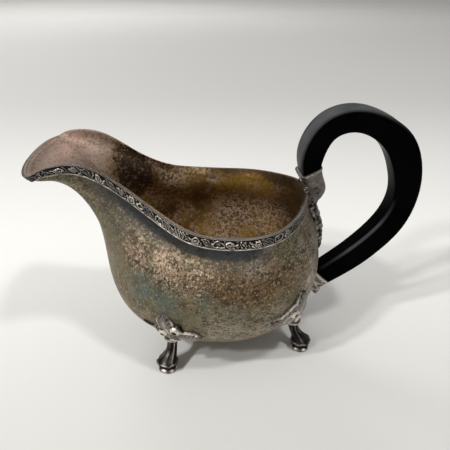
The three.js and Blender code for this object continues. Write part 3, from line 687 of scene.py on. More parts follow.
# Cast border: wires above and below a band of scrolls, leaves and rosettes, one half on each side.
borderPlan = {
    "endAngle": 161.1, "columns": 1150, "faceRows": 34, "topProud": 0.95, "footProud": 1.1, "bandProud": 0.25,
    "wire": 0.1, "height": 5.0, "sink": 0.25, "softenings": 14,
    "leafStep": 3.6, "leafTilt": 34, "leafLength": 6.2, "leafWidth": 3.3, "leafProud": 0.85, "stem": (0.46, 0.8),
    "leafNear": 4, "motifNear": 4.5,  # what lies further from the middle of a leaf or motif isn't touched by it
    # share of the height in the marks, share of what stands above its surroundings, and tone of the rest
    "markHeight": 0.42, "markAbove": 2.0, "markRest": 0.06,
    "halfWidths": {"rosette": 2.1, "boss": 2.2, "eye": 2.6, "loop": 2, "leaf": 2.2, "leafBright": 2.2, "strokes": 2.8,
                   "scroll": 2.6, "scrollBack": 2.6},
    # angles round the rim and the values there
    "worn": ([0, 100, 118, 150, 162], [1, 1, 0.8, 0.6, 0.7]),
    "blackened": ([0, 24, 38, 60], [0.6, 0.7, 0.95, 1]),
    "rimTone": ([60, 95], [0.3, 0.55]),
    # angle of the middle, kind
    "motifs": [(6, "rosette"), (14, "scroll"), (21, "leaf"), (29, "rosette"), (36, "scroll"), (41.5, "boss"),
               (46, "leaf"), (50, "scrollBack"), (53.5, "leaf"), (56.5, "boss"), (59.5, "scroll"), (62.5, "loop"),
               (66, "leaf"), (69, "eye"), (73, "leafBright"), (76.5, "strokes"), (81, "scroll"), (85, "leaf"),
               (88.5, "eye"), (92.5, "scrollBack"), (96.5, "rosette"), (101, "scroll"), (106, "leaf"), (111, "eye"),
               (117, "scrollBack"), (123, "leaf"), (130, "rosette"), (138, "scroll"), (146, "leaf"),
               (154, "rosette")],
}


def strokeHeight(s, v, path, width, height):  # a rounded bead along a path of points
    nearest = np.full(np.shape(s), 1e9)
    for (s0, v0), (s1, v1) in zip(path[:-1], path[1:]):
        ds, dv = s1 - s0, v1 - v0
        t = np.clip(((s - s0) * ds + (v - v0) * dv) / (ds * ds + dv * dv + 1e-9), 0, 1)
        nearest = np.minimum(nearest, np.hypot(s - s0 - t * ds, v - v0 - t * dv))
    return height * roundTop(nearest, width)


def spiral(centre, startRadius, endRadius, fromTurn, toTurn, flip=1):  # a path for a stroke; flip -1 mirrors it
    path = []
    for t in np.linspace(0, 1, 15):
        radius = startRadius + (endRadius - startRadius) * t
        turn = math.radians(fromTurn + (toTurn - fromTurn) * t)
        path.append((centre[0] + flip * radius * math.cos(turn), centre[1] + radius * math.sin(turn)))
    return path


def leafHeight(s, v, tilt, length, width, height, veins=3):
    c, d = math.cos(math.radians(tilt)), math.sin(math.radians(tilt))
    along = (s * c + v * d) / (length / 2)
    across = (-s * d + v * c) / (width / 2)
    span = np.clip(1 - np.abs(along) ** 1.7, 0, 1) ** 0.8
    edge = np.abs(across) / np.maximum(span, 1e-3)
    inside = np.clip(1 - edge**2, 0, 1) * (np.abs(along) < 1)
    ribs = 0.8 + 0.2 * np.cos((along * veins * 2 + np.abs(across) * 2.4) * math.pi)
    outline = bell(edge - 0.76, 0.2) * (inside > 0)
    rib = bell(across, 0.16) * (inside > 0)
    return height * (0.5 * np.sqrt(inside) * ribs + 0.5 * np.maximum(outline, rib * 0.8))


def motifHeight(kind, s, v):
    if kind == "rosette":
        away = np.hypot(s, v)
        petals = 0.72 + 0.28 * np.cos(6 * np.arctan2(v, s))
        return 0.95 * np.maximum(bell(away - 1.4, 0.5) * petals, roundTop(away, 0.6))
    if kind == "boss":
        return 1.05 * roundTop(np.hypot(s * 0.8, v), 1.7)
    if kind == "eye":
        away = np.hypot(s / 2.3, v / 1.5)
        return 0.95 * np.maximum(bell(away - 1.0, 0.24), 0.8 * roundTop(away, 0.5))
    if kind == "loop":
        ring = strokeHeight(s, v, spiral((0, 0), 1.4, 1.2, -60, 250), 0.42, 0.95)
        return np.maximum(ring, leafHeight(s, v, 20, 1.6, 1.0, 0.6))
    if kind == "leaf":
        return leafHeight(s, v, -32, 5.4, 3.4, 0.95, 2)
    if kind == "leafBright":
        return leafHeight(s, v, -40, 5.2, 3.4, 1.15)
    if kind == "strokes":
        made = np.zeros(np.shape(s))
        for step in (-2.1, -0.7, 0.7, 2.1):
            path = [(step - 0.8, 1.5), (step + 0.1, 0.4), (step + 0.5, -0.6), (step + 0.3, -1.5)]
            made = np.maximum(made, strokeHeight(s, v, path, 0.5, 0.9))
        return made
    flip = 1 if kind == "scroll" else -1
    made = strokeHeight(s, v, spiral((flip * 0.4, 0), 1.9, 0.5, -150, 330, flip), 0.5, 1.0)
    return np.maximum(made, strokeHeight(s, v, spiral((-flip * 1.9, 1.2), 1.1, 1.6, 250, 350, flip), 0.36, 0.8))


def borderAngles(plan):  # columns at even lengths along the rim
    angles = np.linspace(0, plan["endAngle"], 2400)
    line = np.array([rimPoint(angle) for angle in angles])
    lengths = np.concatenate([[0], np.cumsum(np.linalg.norm(np.diff(line, axis=0), axis=1))])
    spaced = np.linspace(0, lengths[-1], plan["columns"] + 1)
    return np.interp(spaced, lengths, angles), spaced, lambda angle: np.interp(angle, angles, lengths)


def bandRelief(plan, lengths, shares, lengthAt):  # leaves and stems all along, with the motifs cut in among them
    s, v = np.meshgrid(lengths, (0.5 - shares) * plan["height"], indexing="ij")
    relief = np.zeros(s.shape)
    # the pattern wanders a little, as a hand-made one does
    bentS = s + 0.32 * np.sin(v * 1.9 + s * 0.83) + 0.16 * np.sin(s * 2.9 + 1)
    v = v + 0.26 * np.sin(s * 1.37) + 0.14 * np.sin(s * 3.3 + v * 2)
    s = bentS
    for number, middle in enumerate(np.arange(1.5, lengths[-1], plan["leafStep"])):
        near = np.abs(s - middle) < plan["leafNear"]
        side = 1 if number % 2 else -1
        middle += 0.5 * math.sin(number * 4.1)
        tilt = side * (plan["leafTilt"] + 9 * math.sin(number * 2.3))
        width = plan["leafWidth"] + 0.5 * math.sin(number * 1.7)
        ds, dv = s[near] - middle, v[near]
        leaf = leafHeight(ds, dv - side * 0.5, tilt, plan["leafLength"], width, plan["leafProud"])
        stem = strokeHeight(ds, dv, spiral((side * 1.5, -side * 1.0), 1.3, 0.6, -80, 200, side), *plan["stem"])
        relief[near] = np.maximum(np.maximum(relief[near], leaf), stem)
    for angle, kind in plan["motifs"]:
        middle = lengthAt(angle)
        near = np.abs(s - middle) < plan["motifNear"]
        ds, dv = s[near] - middle, v[near]
        cleared = np.clip((np.abs(ds) - plan["halfWidths"][kind] + 0.3 * np.abs(dv)) / 0.4, 0, 1)
        relief[near] = np.maximum(relief[near] * cleared, motifHeight(kind, ds, dv))
    return relief


def makeBorder():
    plan = borderPlan
    wire = plan["wire"]
    angles, lengths, lengthAt = borderAngles(plan)
    shares = np.linspace(0, 1, plan["faceRows"] + 1)
    scale = np.hypot(bandDown(angles), bandIn(angles)) / plan["height"]
    field = np.clip((np.minimum(shares + wire * 0.4, 1 - shares) - wire * 0.75) / (wire * 0.5), 0, 1)
    relief = bandRelief(plan, lengths, shares, lengthAt) * field[None, :]
    upperWire = roundTop(shares - wire * 0.15, wire * 0.35) * (plan["topProud"] - plan["bandProud"])
    lowerWire = roundTop(1 - shares - wire * 0.5, wire * 0.55) * (plan["footProud"] - plan["bandProud"])
    beads = np.maximum(upperWire, lowerWire)[None, :] * np.ones((len(angles), 1))
    raised = np.maximum(relief * np.interp(angles, *plan["worn"])[:, None] * 0.85, beads)
    soft = raised.copy()
    for turn in range(plan["softenings"]):
        soft = easedAlong(easedAlong(soft, 0), 1)
    # what stands above its surroundings is bright, what lies below them dark, and all is blackened towards the lip
    marks = plan["markHeight"] * raised / plan["topProud"] + plan["markAbove"] * (raised - soft) + plan["markRest"]
    marks = np.clip(marks, 0, 1) * np.interp(angles, *plan["blackened"])[:, None]
    marks[:, :2] *= 0.7
    places = []
    shade = []
    for i, angle in enumerate(angles):
        point, out = wallAt(angle, 1 - shares * 0.04)
        proud = (plan["bandProud"] + raised[i]) * max(float(scale[i]), 0.75)
        face = point + out * proud[:, None]
        top = point[0] + out[0] * np.array([[-0.1], [0.3]])
        foot = point[-1:] - out[-1:] * plan["sink"]
        places.append(np.concatenate([top, face, foot, top[:1]]))
        rimTone = np.interp(angle, *plan["rimTone"])
        shade.append(np.concatenate([[rimTone, rimTone], marks[i], [0, rimTone]]))
    return sheetThrough(inPlace(places), np.array(shade), capEnds=True)


leftBorder = makeBorder()
rightBorder = mirrorSheet(leftBorder.copy())
finishPiece("border_left", leftBorder, [castSilver], ["rim_border_left"])
finishPiece("border_right", rightBorder, [castSilver], ["rim_border_right"])
print("borders made")


# Handle: a rounded bar bent into a loop.
handlePlan = {
    # place along x, height, width in the plane, thickness across
    "line": [(37.5, 92, 7.2, 13.2), (36.9, 104, 10.4, 14.5), (41.4, 115, 10.5, 14.6), (49, 120.5, 10.6, 14.6),
             (58.2, 121.4, 11, 14.5), (68.3, 117.8, 12, 14.2), (78.3, 109.2, 13.9, 14), (84, 95.5, 13.6, 13.4),
             (84.8, 82, 12.3, 12.6), (80.2, 68.3, 12.5, 12), (70.5, 56.2, 12.6, 11.4), (59.4, 46.4, 12.4, 10.8),
             (43.3, 35.1, 10.8, 10.4)],
    "steps": 260, "cornerSteps": 6, "edge": 2.1,
    # places along the line, counted in knots, and how strong the painted sheen on the outer face and the painted
    # highlight on one edge of the inner face are there
    "sheenOnOuterFace": ([0, 1, 4.6, 6], [0.7, 1, 1, 0]), "highlightOnInnerEdge": ([8, 9.2, 11.2, 11.8], [0, 0.6, 0.6, 0]),
    "highlightWide": 0.7,  # share of the rounded edge that the painted highlight covers
}


def roundedBar(width, thick, radius, cornerSteps):
    outline = []
    for corner in range(4):
        right = 1 if corner in (0, 3) else -1
        top = 1 if corner < 2 else -1
        for step in range(cornerSteps + 1):
            turn = (corner + step / cornerSteps) * math.pi / 2
            x = right * (width / 2 - radius) + radius * math.cos(turn)
            y = top * (thick / 2 - radius) + radius * math.sin(turn)
            outline.append((x, y))
    outline.append(outline[0])
    return np.array(outline)


def makeHandle():
    plan = handlePlan
    knots = list(range(len(plan["line"])))
    x, z, width, thick = [smoothThrough(knots, columnOf(plan["line"], k), False) for k in range(4)]
    places = []
    marks = []
    for at in np.linspace(0, knots[-1], plan["steps"] + 1):
        wide, deep = float(width(at)), float(thick(at))
        run = np.array([x(at + 0.01) - x(at - 0.01), 0, z(at + 0.01) - z(at - 0.01)])
        run /= np.linalg.norm(run)
        across = np.array([run[2], 0, -run[0]])
        outline = roundedBar(wide, deep, plan["edge"], plan["cornerSteps"])
        middle = np.array([float(x(at)), 0, float(z(at))])
        places.append(middle + outline[:, :1] * across + outline[:, 1:] * np.array([0, 1, 0]))
        # painted sheen on the outer face and a painted highlight along one edge of the inner face
        outerFace = np.clip(-outline[:, 0] / (wide / 2) * 5 - 4, 0, 1)
        fromEdge = np.stack([wide / 2 - outline[:, 0], deep / 2 + outline[:, 1]])
        paintedSheen = np.all(fromEdge < plan["edge"] * plan["highlightWide"], axis=0)
        worn = outerFace * np.interp(at, *plan["sheenOnOuterFace"])
        marks.append(np.maximum(worn, paintedSheen * np.interp(at, *plan["highlightOnInnerEdge"])))
    sheet = sheetThrough(inPlace(places), np.array(marks), capEnds=True)
    finishPiece("loop_handle", sheet, [blackHandle], ["handle"])


makeHandle()
print("handle made")


# Sockets: the castings that hold the handle, with a scroll and a drop of leaves at the top one.
upperSocketPlan = {
    # height, inner reach, outer reach, half width, squareness
    "levels": [(102, 31.6, 41.9, 7.9, 6), (97, 31.6, 42.3, 7.9, 6), (93.5, 33, 43.6, 7.5, 4.5),
               (90, 34.4, 44.9, 7.2, 3.5), (86.5, 35, 45, 6.6, 3), (82.5, 35, 43.4, 5, 2.4), (79, 35, 42.2, 4.2, 2.1),
               (75, 35, 43.6, 5.6, 2.1), (71.5, 36, 44.8, 4.6, 2.1), (67.5, 37, 46, 5.2, 2.1),
               (63.5, 37, 46.3, 3.9, 2.1), (59.5, 37, 46.5, 3.8, 2.1), (56, 38.4, 46.4, 2.4, 2),
               (53.5, 40.6, 45.8, 0.8, 2)],
    # middle of the mouth in the plane of the handle, the way into it, and how far its edge stands up
    "mouth": (41.9, 99.4), "into": (0.45, -0.893), "edgeUp": 0.6, "edgeBead": 0.28,
    "top": 101.6, "foot": 53.5, "rows": 150, "turns": 96,
    "dropFrom": 86, "dropOver": 6,  # the drop of leaves starts below this height
    "cheekIn": 0.15, "cheekFrom": 0.9, "cheekOver": 0.08,  # the flat cheeks sink inside a raised border
    "tone": 0.36, "cheekTone": 0.24, "reliefTone": 1.35,
    "curl": {"x": 34.8, "z": 88.7, "y": 6.8, "radius": 1.4, "bead": 0.55, "from": 70, "turn": 480, "tighter": 0.72,
             "thinner": 0.45, "tone": 0.4},
}


def squareEllipse(turn, width, thick, square):  # 2 gives an ellipse, more gives squarer corners
    c, s = np.cos(turn), np.sin(turn)
    power = 2 / square
    return np.sign(c) * np.abs(c) ** power * width / 2, np.sign(s) * np.abs(s) ** power * thick / 2


def swollen(x, y, relief):  # moves an outline outwards from its middle by the relief
    reach = np.hypot(x, y) + 1e-6
    return x + relief * x / reach, y + relief * y / reach


def makeUpperSocket():
    plan = upperSocketPlan
    rows = [(-level[0], *level[1:]) for level in plan["levels"]]  # upside down, because knots have to rise
    inner, outer, half, square = [curveOf(rows, k, False) for k in range(1, 5)]
    mouthX, mouthZ = plan["mouth"]
    intoX, intoZ = plan["into"]
    edgeUp = plan["edgeUp"]
    turns = np.linspace(0, 2 * math.pi, plan["turns"] + 1)
    places = []
    shade = []
    for z in np.linspace(plan["top"], plan["foot"], plan["rows"] + 1):
        wide, deep = float(outer(-z) - inner(-z)), float(half(-z))
        middle = float(outer(-z) + inner(-z)) / 2
        x, y = squareEllipse(turns, wide, 2 * deep, float(square(-z)))
        drop = np.clip((plan["dropFrom"] - z) / plan["dropOver"], 0, 1)
        sway = 1.4 * np.sin(z * 0.8 + turns * 2) + 0.8 * math.sin(z * 2.3)
        upright = 0.14 * np.cos(turns * 9 + sway)
        slanting = 0.13 * np.cos(turns * 4 - z * 1.7 + sway)
        veins = drop * (upright + slanting + 0.1 * math.cos((z - 53) * 0.83))
        cheek = np.clip((np.abs(y) / deep - plan["cheekFrom"]) / plan["cheekOver"], 0, 1)
        inside = (middle + x - mouthX) * intoX + (z - mouthZ) * intoZ  # depth behind the mouth's face
        collar = -plan["cheekIn"] * (1 - drop) * cheek * np.clip((inside - edgeUp) / 0.6, 0, 1)
        relief = veins + collar + plan["edgeBead"] * bell(inside + 0.1, 0.34)
        x, y = swollen(x, y, relief)
        x = x + middle
        above = (x - mouthX) * intoX + (z - mouthZ) * intoZ  # negative above the mouth's face
        places.append(np.stack([x, y, np.where(above < -edgeUp, z - (above + edgeUp) / intoZ, z)], -1))
        tone = plan["tone"] + plan["cheekTone"] * (1 - drop) * 0.75
        shade.append(np.clip(tone + relief * plan["reliefTone"], 0, 1))
    sheet = sheetThrough(inPlace(places), np.array(shade), capEnds=True)
    for side in (-1, 1):
        joinInto(sheet, makeCurl(plan["curl"], side))
    finishPiece("upper_handle_socket", sheet, [castSilver], ["upper_socket"])


def makeCurl(curl, side):  # a tapering bead rolled up in the plane of the handle
    turns = np.linspace(0, 2 * math.pi, 13)
    places = []
    for t in np.linspace(0, 1, 60):
        turn = math.radians(curl["from"] + curl["turn"] * t)
        radius = curl["radius"] * (1 - curl["tighter"] * t)
        bead = curl["bead"] * (1 - curl["thinner"] * t)
        middle = np.array([curl["x"] - radius * math.cos(turn), side * curl["y"], curl["z"] + radius * math.sin(turn)])
        outward = np.array([-math.cos(turn), 0, math.sin(turn)])
        places.append(middle + np.outer(np.cos(turns), outward) * bead + np.outer(np.sin(turns), [0, 1, 0]) * bead)
    places = inPlace(places)
    return sheetThrough(places, np.full(places.shape[:2], curl["tone"]), capEnds=True)


lowerSocketPlan = {
    "middle": (46.8, 38.6), "into": (-0.696, -0.718), "turns": 72, "rows": 40,
    # depth behind the mouth, width, thickness, drop, squareness
    "levels": [(-0.2, 11.4, 11.4, 0.4, 5), (1.2, 11.6, 11.6, 0.4, 5), (3, 11, 10.8, 0.6, 4), (6, 11.6, 11.4, 1, 3.4),
               (9, 13, 12.5, 1.4, 3)],
    "carving": 0.12, "edgeBead": 0.2, "tone": 0.55, "reliefTone": 2.2,
}


def makeLowerSocket():
    plan = lowerSocketPlan
    width, thick, drop, square = [curveOf(plan["levels"], k, False) for k in range(1, 5)]
    middleX, middleZ = plan["middle"]
    intoX, intoZ = plan["into"]
    turns = np.linspace(0, 2 * math.pi, plan["turns"] + 1)
    places = []
    shade = []
    for back in np.linspace(plan["levels"][0][0], plan["levels"][-1][0], plan["rows"] + 1):
        x, y = squareEllipse(turns, float(width(back)), float(thick(back)), float(square(back)))
        carving = plan["carving"] * np.cos(turns * 9 + 2.5 * math.sin(back * 1.7)) * min(max(back / 3, 0), 1)
        relief = carving + plan["edgeBead"] * bell(back - 0.6, 0.5)
        x, y = swollen(x, y, relief)
        x = x + float(drop(back))
        places.append(np.stack([middleX + intoX * back - intoZ * x, y, middleZ + intoZ * back + intoX * x], -1))
        shade.append(np.clip(plan["tone"] + relief * plan["reliefTone"], 0, 1))
    sheet = sheetThrough(inPlace(places), np.array(shade), capEnds=True)
    finishPiece("lower_handle_socket", sheet, [castSilver], ["lower_socket"])


makeUpperSocket()
makeLowerSocket()
print("sockets made")


# Feet: a fluted leg on a hoof, and a spray of leaves and berries spread on the bowl above it.
footPlan = {
    # height, width, thickness, how far out
    "leg": [(0, 8.8, 8.6, 0.2), (0.9, 9.5, 9.3, 0.2), (1.8, 9.3, 9.1, 0.2), (2.5, 8.5, 8.1, 0.2),
            (5.2, 9.6, 9.0, 0.3), (7.8, 7.2, 6.6, -1.1), (10.4, 5.3, 5.2, -2.8), (13.4, 4.8, 4.8, -3.9),
            (16, 5.6, 5.6, -4.2), (22, 9, 9, -4.6)],
    "legTop": 22, "turns": 72, "rows": 110, "square": 2.3,
    "hoofEdge": 4.3, "fluteFrom": (5.2, 2.5), "fluteTo": (16.5, 2),  # height, and over what length the flutes end
    "flutes": (-1.25, -0.38, 0.62, 1.4, 2.5, 3.5, 4.2), "fluteWide": 0.15, "fluteDeep": 0.62,
    "wallFrom": 11, "intoWall": 0.5,  # above this height the leg ends this far inside the bowl's metal
    "sprayStep": 0.3, "sprayBack": -0.7,
    "feet": {
        # leaves: wall angle, height, length, width, proud, lean from upright; berries: wall angle, height, radius
        "foot_front_left": {
            "x": -34.2, "y": -25.8, "angle": 55, "z": 21, "kick": -115, "neck": 1.0,
            "reach": (-20, 22), "rise": (-4, 26),  # of the spray's patch, round the wall and up it
            "leaves": [(44.5, 31.5, 7, 1.6, 1.2, 80), (68.5, 28.6, 14, 9, 2.4, -84), (57, 25, 13, 12, 2.6, 0),
                       (52.5, 26, 12, 7, 2.2, 28), (58, 34, 16, 9.6, 2.3, 3)],
            "berries": [(55, 30.6, 2.6), (63.4, 34.4, 2.9), (57.5, 24, 2.4), (74, 31, 1.1)],
        },
        "foot_rear_left": {
            "x": 36.2, "y": -14.3, "angle": 146, "z": 21, "kick": -25, "neck": -0.3,
            "reach": (-34, 18), "rise": (-4, 34),
            "leaves": [(127, 33.8, 17.5, 8, 2.4, 78), (150, 27, 14, 8, 2.4, -50), (139, 31, 15, 10, 2.6, 0),
                       (147, 25, 12, 12, 2.8, 0), (127.8, 38, 19, 7, 2.2, -53), (135.3, 38, 20, 9, 2.6, -3)],
            "berries": [(130, 37.5, 2.5), (138.5, 31, 2.4), (145, 26, 2.4)],
        },
    },
}


def wallHeights(foot):  # gives the height of the bowl's underside above points of the floor near a foot
    ups = np.linspace(0.04, 0.5, 140)
    under = np.concatenate([wallAt(foot["angle"] + turn, ups)[0] for turn in np.arange(-32, 33, 1.0)])

    def at(points):
        gaps = np.hypot(points[:, :1] - under[:, 0], points[:, 1:2] - under[:, 1])
        return under[np.argmin(gaps, axis=1), 2]

    return at


def makeLeg(foot):
    plan = footPlan
    width, thick, away = [curveOf(plan["leg"], k, False) for k in range(1, 4)]
    kick = np.array([math.cos(math.radians(foot["kick"])), math.sin(math.radians(foot["kick"])), 0])
    side = np.array([-kick[1], kick[0], 0])
    turns = np.linspace(0, 2 * math.pi, plan["turns"] + 1)
    front = turns - math.pi / 2
    flutes = sum(bell(front - lean, plan["fluteWide"]) for lean in plan["flutes"])
    scallop = plan["hoofEdge"] + 1.0 * np.abs(np.cos(front * 3))
    heightAt = wallHeights(foot)
    places = []
    shade = []
    (fluteFoot, footOver), (fluteTop, topOver) = plan["fluteFrom"], plan["fluteTo"]
    for z in np.linspace(0, plan["legTop"], plan["rows"] + 1):
        depth = np.clip((z - fluteFoot) / footOver, 0, 1) * np.clip((fluteTop - z) / topOver, 0, 1)
        relief = -plan["fluteDeep"] * flutes * depth + 0.16 * depth
        # ridge and hollow of the hoof's edge, its groove, and the roll at the top of the leg
        for size, offset, length in ((0.8, z - scallop, 0.36), (-0.5, z - scallop + 1.0, 0.45), (-0.4, z - 2.3, 0.3),
                                     (1.1, z - 16.4, 1.0)):
            relief = relief + size * bell(offset, length)
        across, along = squareEllipse(turns, float(width(z)), float(thick(z)), plan["square"])
        across, along = swollen(across, along, relief)
        shift = foot["neck"] * np.clip((z - 5) / 5, 0, 1) * np.clip((20 - z) / 4, 0, 1)
        point = np.array([foot["x"] + shift, foot["y"], z])
        point = point + np.outer(along + float(away(z)), kick) + np.outer(across, side)
        if z > plan["wallFrom"]:
            over = z - heightAt(point) - plan["intoWall"]
            point[:, 2] = z - np.maximum(over, 0) * 0.99  # not quite flat, so that no two rows fall together
        places.append(point)
        ridgeHighlights = 0.75 * bell(front + 0.85, 0.1) * depth + 0.3 * bell(front - 0.9, 0.08) * depth  # painted highlights along two flute ridges, one stronger than the other
        segments = 0.35 * np.cos(front * 7) * (z < 2.2)
        # the lift round the foot of the hoof is a painted highlight
        shade.append(np.clip(0.12 + relief * 0.7 + 0.5 * bell(z - 1.3, 0.8) * 1.3 + ridgeHighlights + segments, 0, 1))
    return sheetThrough(inPlace(places), np.array(shade), capEnds=True)


def sprayHeight(r, u, leaves, berries):
    made = np.full(r.shape, -1.0)
    mark = np.zeros(r.shape)
    for middleR, middleU, length, wide, proud, lean in leaves:
        c, d = math.cos(math.radians(90 + lean)), math.sin(math.radians(90 + lean))
        along = ((r - middleR) * c + (u - middleU) * d) / (length / 2)
        across = (-(r - middleR) * d + (u - middleU) * c) / (wide / 2)
        edge = np.abs(across) / np.clip(1 - np.abs(along) ** 3, 1e-3, 1) ** 0.55
        inside = (edge < 1) & (np.abs(along) < 1)
        dome = np.clip(1 - edge**2 * 0.55, 0, 1) * np.clip(1 - along**2, 0, 1) ** 0.35
        dome = dome * np.clip((1 - edge) / 0.16, 0, 1) ** 0.5
        veins = bell(np.sin((along * 3.6 - edge * 1.5) * math.pi), 0.3) * np.clip(edge * 3 - 0.3, 0, 1) * (edge < 0.72)
        rib = bell(across, 0.11)
        rim = bell(edge - 0.84, 0.1)
        height = np.where(inside, proud * (dome * (0.9 - 0.2 * veins) + 0.1 * rib + 0.1 * rim * dome), -1.0)
        # the rim term is a painted highlight along the leaf's edge, and past 0.95 the outline is left dark as painted
        # shade
        bright = np.clip(0.66 * dome + 0.1 * rib + 0.5 * rim - 0.55 * veins, 0, 1) * (edge < 0.95)
        taller = height > made
        made = np.where(taller, height, made)
        mark = np.where(taller, bright * (0.3 if wide < 2 else 1), mark)  # the thin spike is dark
    for middleR, middleU, size in berries:
        away = np.hypot(r - middleR, u - middleU) / size
        ball = np.where(away < 1, (1.3 + size) * roundTop(away, 1) - 1.6 * bell(away, 0.26), -1.0)
        taller = ball > made
        made = np.where(taller, ball, made)
        # past 0.84 the berry's outline is left dark as painted shade
        mark = np.where(taller, np.clip((away - 0.3) * 6, 0, 0.9) * (away < 0.84), mark)
    return made, mark


def makeSpray(foot):
    plan = footPlan
    step = plan["sprayStep"]
    startUp = upAtHeight(foot["angle"], foot["z"])
    lengths = uprightLine(foot["angle"])[1]
    # share of the wall's height and degrees round it for each millimetre
    perUp = 1 / np.interp(0.45, boat["steps"][:-1], np.gradient(lengths, boat["steps"])[:-1])
    low, high = wallAt(foot["angle"] - 5, [0.45])[0][0], wallAt(foot["angle"] + 5, [0.45])[0][0]
    perRound = 10 / np.linalg.norm(high - low)
    r = np.arange(foot["reach"][0], foot["reach"][1] + step, step)
    u = np.arange(foot["rise"][0], foot["rise"][1] + step, step)

    def onPatch(angle, z, *rest):  # a leaf or berry of the wall, placed on the flat patch
        return ((angle - foot["angle"]) / perRound, (upAtHeight(angle, z) - startUp) / perUp, *rest)

    leaves = [onPatch(*leaf) for leaf in foot["leaves"]]
    berries = [onPatch(*berry) for berry in foot["berries"]]
    height, mark = sprayHeight(*np.meshgrid(r, u, indexing="ij"), leaves, berries)
    height = easedAlong(easedAlong(height, 0), 1)  # eases the steps at the leaf edges
    height = np.maximum(height, plan["sprayBack"] + 0.1)
    ups = np.clip(startUp + u * perUp, 0.02, 0.97)
    places = []
    for i, along in enumerate(r):
        point, out = wallAt((foot["angle"] + along * perRound) % 360, ups)
        places.append(point + out * height[i][:, None])
    return sheetThrough(inPlace(places), mark)


def makeFoot(name, foot):
    left = joinInto(makeLeg(foot), makeSpray(foot))
    right = mirrorSheet(left.copy())
    for side, sheet in ((name, left), (name.replace("left", "right"), right)):
        finishPiece(side.replace("foot", "cast_foot"), sheet, [footSilver], [side])


for footName, foot in footPlan["feet"].items():
    makeFoot(footName, foot)
print("feet made")


# The pins keep the drawing's shape and get a plain, lighter silver.
for pinName in ("upper_handle_pin", "lower_handle_pin"):
    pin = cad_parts[pinName]
    pin.data.materials.clear()
    pin.data.materials.append(pinSilver)


# Studio: pale floor with painted shade, soft lights and the camera.
studio = {
    "floor": (0.83, 0.82, 0.79), "floorShade": (0.57, 0.565, 0.55), "floorFrontShade": (0.555, 0.55, 0.52),
    "floorFarShade": (0.58, 0.575, 0.56), "floorRoughness": 0.8,
    # painted shade on the floor: darker to the right, lighter away from the front and darker again far behind
    "drift": 0.35, "rightward": (0.5, 0.24), "dark": (-0.2, 1.3), "front": (-0.16, 0.14), "far": (0.08, 0.6),
    "farEnd": (1.2, 2.2, 1, 0), "farRight": (-0.8, 0.1, 0.3, 0.9),
    "halfWidth": 6, "wallHeight": 6, "sweep": 2.5, "under": 0.0003,  # metres
    "camera": {"place": (-16.77, -222.10, 183.31), "tilt": (62.616, 0, -3.658), "lens": 40, "sensor": 36, "reach": 50},
    # place, energy, size, target
    "lights": [((0.36, -0.46, 1.1), 4.3, 0.11, (0, 0, 0.05)), ((-0.70, -0.50, 0.9), 5.7, 0.07, (0, 0, 0.05)),
               ((-0.80, -0.76, 0.92), 5.7, 0.09, (0, 0, 0.05)),
               ((-0.6, 1.9, 1.7), 21, 1.2, (0.05, 2.2, 0))],
    # strength at the horizon, overhead, to the left and to the right
    "sky": {"low": 0.11, "high": 0.53, "left": 1.25, "right": 0.8, "colour": (1.0, 0.99, 0.97, 1)},
}


def makeFloorFinish():
    w = Wiring("pale_floor")
    x, y = w.axis("X"), w.axis("Y")
    drift = w.sway(w.noise(2.2, 2, 0.5), studio["drift"])
    right = w.plus(w.times(x, studio["rightward"][0]), w.times(y, studio["rightward"][1]))
    # painted shade: the floor darker to the right, with noise
    shade = w.span(w.plus(right, drift), *studio["dark"])
    colour = w.mix(w.span(y, *studio["front"]), studio["floorFrontShade"], studio["floor"])
    farther = w.times(w.span(y, *studio["far"]), w.span(y, *studio["farEnd"]))
    farther = w.times(farther, w.span(x, *studio["farRight"]))
    colour = w.mix(farther, colour, studio["floorFarShade"])
    w.dress(w.mix(shade, colour, studio["floorShade"]), studio["floorRoughness"])
    return w.material


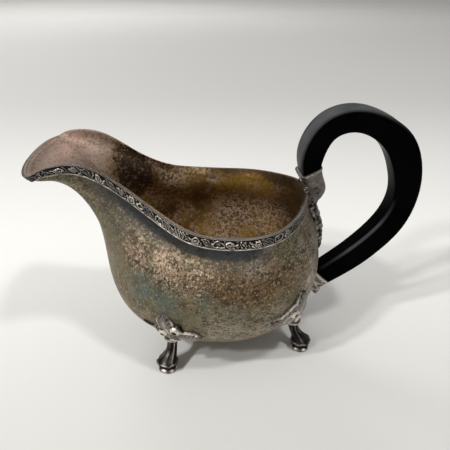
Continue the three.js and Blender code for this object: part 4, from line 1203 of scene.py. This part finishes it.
def makeFloor():
    size, height = studio["halfWidth"], studio["wallHeight"]
    sheet = bmesh.new()
    bmesh.ops.create_grid(sheet, x_segments=1, y_segments=1, size=size)
    far = [edge for edge in sheet.edges if all(vertex.co.y > size - 0.1 for vertex in edge.verts)]
    wall = bmesh.ops.extrude_edge_only(sheet, edges=far)["geom"]
    raised = [item for item in wall if isinstance(item, bmesh.types.BMVert)]
    bmesh.ops.translate(sheet, vec=(0, 0, height), verts=raised)
    bmesh.ops.bevel(sheet, geom=far, offset=studio["sweep"], segments=16, affect="EDGES", profile=0.5, material=-1)
    bmesh.ops.translate(sheet, vec=(0, 0, -studio["under"]), verts=sheet.verts)
    meshObject("floor", sheet, [makeFloorFinish()])


def makeRoom():
    sky = studio["sky"]
    world = bpy.data.worlds.new("room")
    world.use_nodes = True
    nodes, links = world.node_tree.nodes, world.node_tree.links
    parts = nodes.new("ShaderNodeSeparateXYZ")
    links.new(nodes.new("ShaderNodeTexCoord").outputs["Generated"], parts.inputs["Vector"])
    spans = (("Z", 0, 0.8, sky["low"], sky["high"]), ("X", -1, 1, sky["left"], sky["right"]))
    ramps = []
    for axis, low, high, toLow, toHigh in spans:
        ramp = nodes.new("ShaderNodeMapRange")
        links.new(parts.outputs[axis], ramp.inputs["Value"])
        setRange(ramp, low, high, toLow, toHigh)
        ramps.append(ramp.outputs["Result"])
    both = nodes.new("ShaderNodeMath")
    both.operation = "MULTIPLY"
    links.new(ramps[0], both.inputs[0])
    links.new(ramps[1], both.inputs[1])
    nodes["Background"].inputs["Color"].default_value = sky["colour"]
    links.new(both.outputs["Value"], nodes["Background"].inputs["Strength"])
    bpy.context.scene.world = world


def makeLights():
    for number, (place, energy, size, target) in enumerate(studio["lights"]):
        data = bpy.data.lights.new(f"soft_light_{number}", "AREA")
        data.energy = energy
        data.size = size
        light = intoScene(f"soft_light_{number}", data)
        light.location = place
        light.rotation_euler = (Vector(target) - Vector(place)).to_track_quat("-Z", "Y").to_euler()


def makeCamera():
    plan = studio["camera"]
    data = bpy.data.cameras.new("camera")
    data.lens = plan["lens"]
    data.sensor_width = plan["sensor"]
    data.clip_end = plan["reach"]
    camera = intoScene("camera", data)
    camera.location = Vector(plan["place"]) * mm
    camera.rotation_euler = [math.radians(turn) for turn in plan["tilt"]]
    bpy.context.scene.camera = camera


makeFloor()
makeRoom()
makeLights()
makeCamera()
bpy.context.scene.view_settings.view_transform = "Standard"
print("studio set")
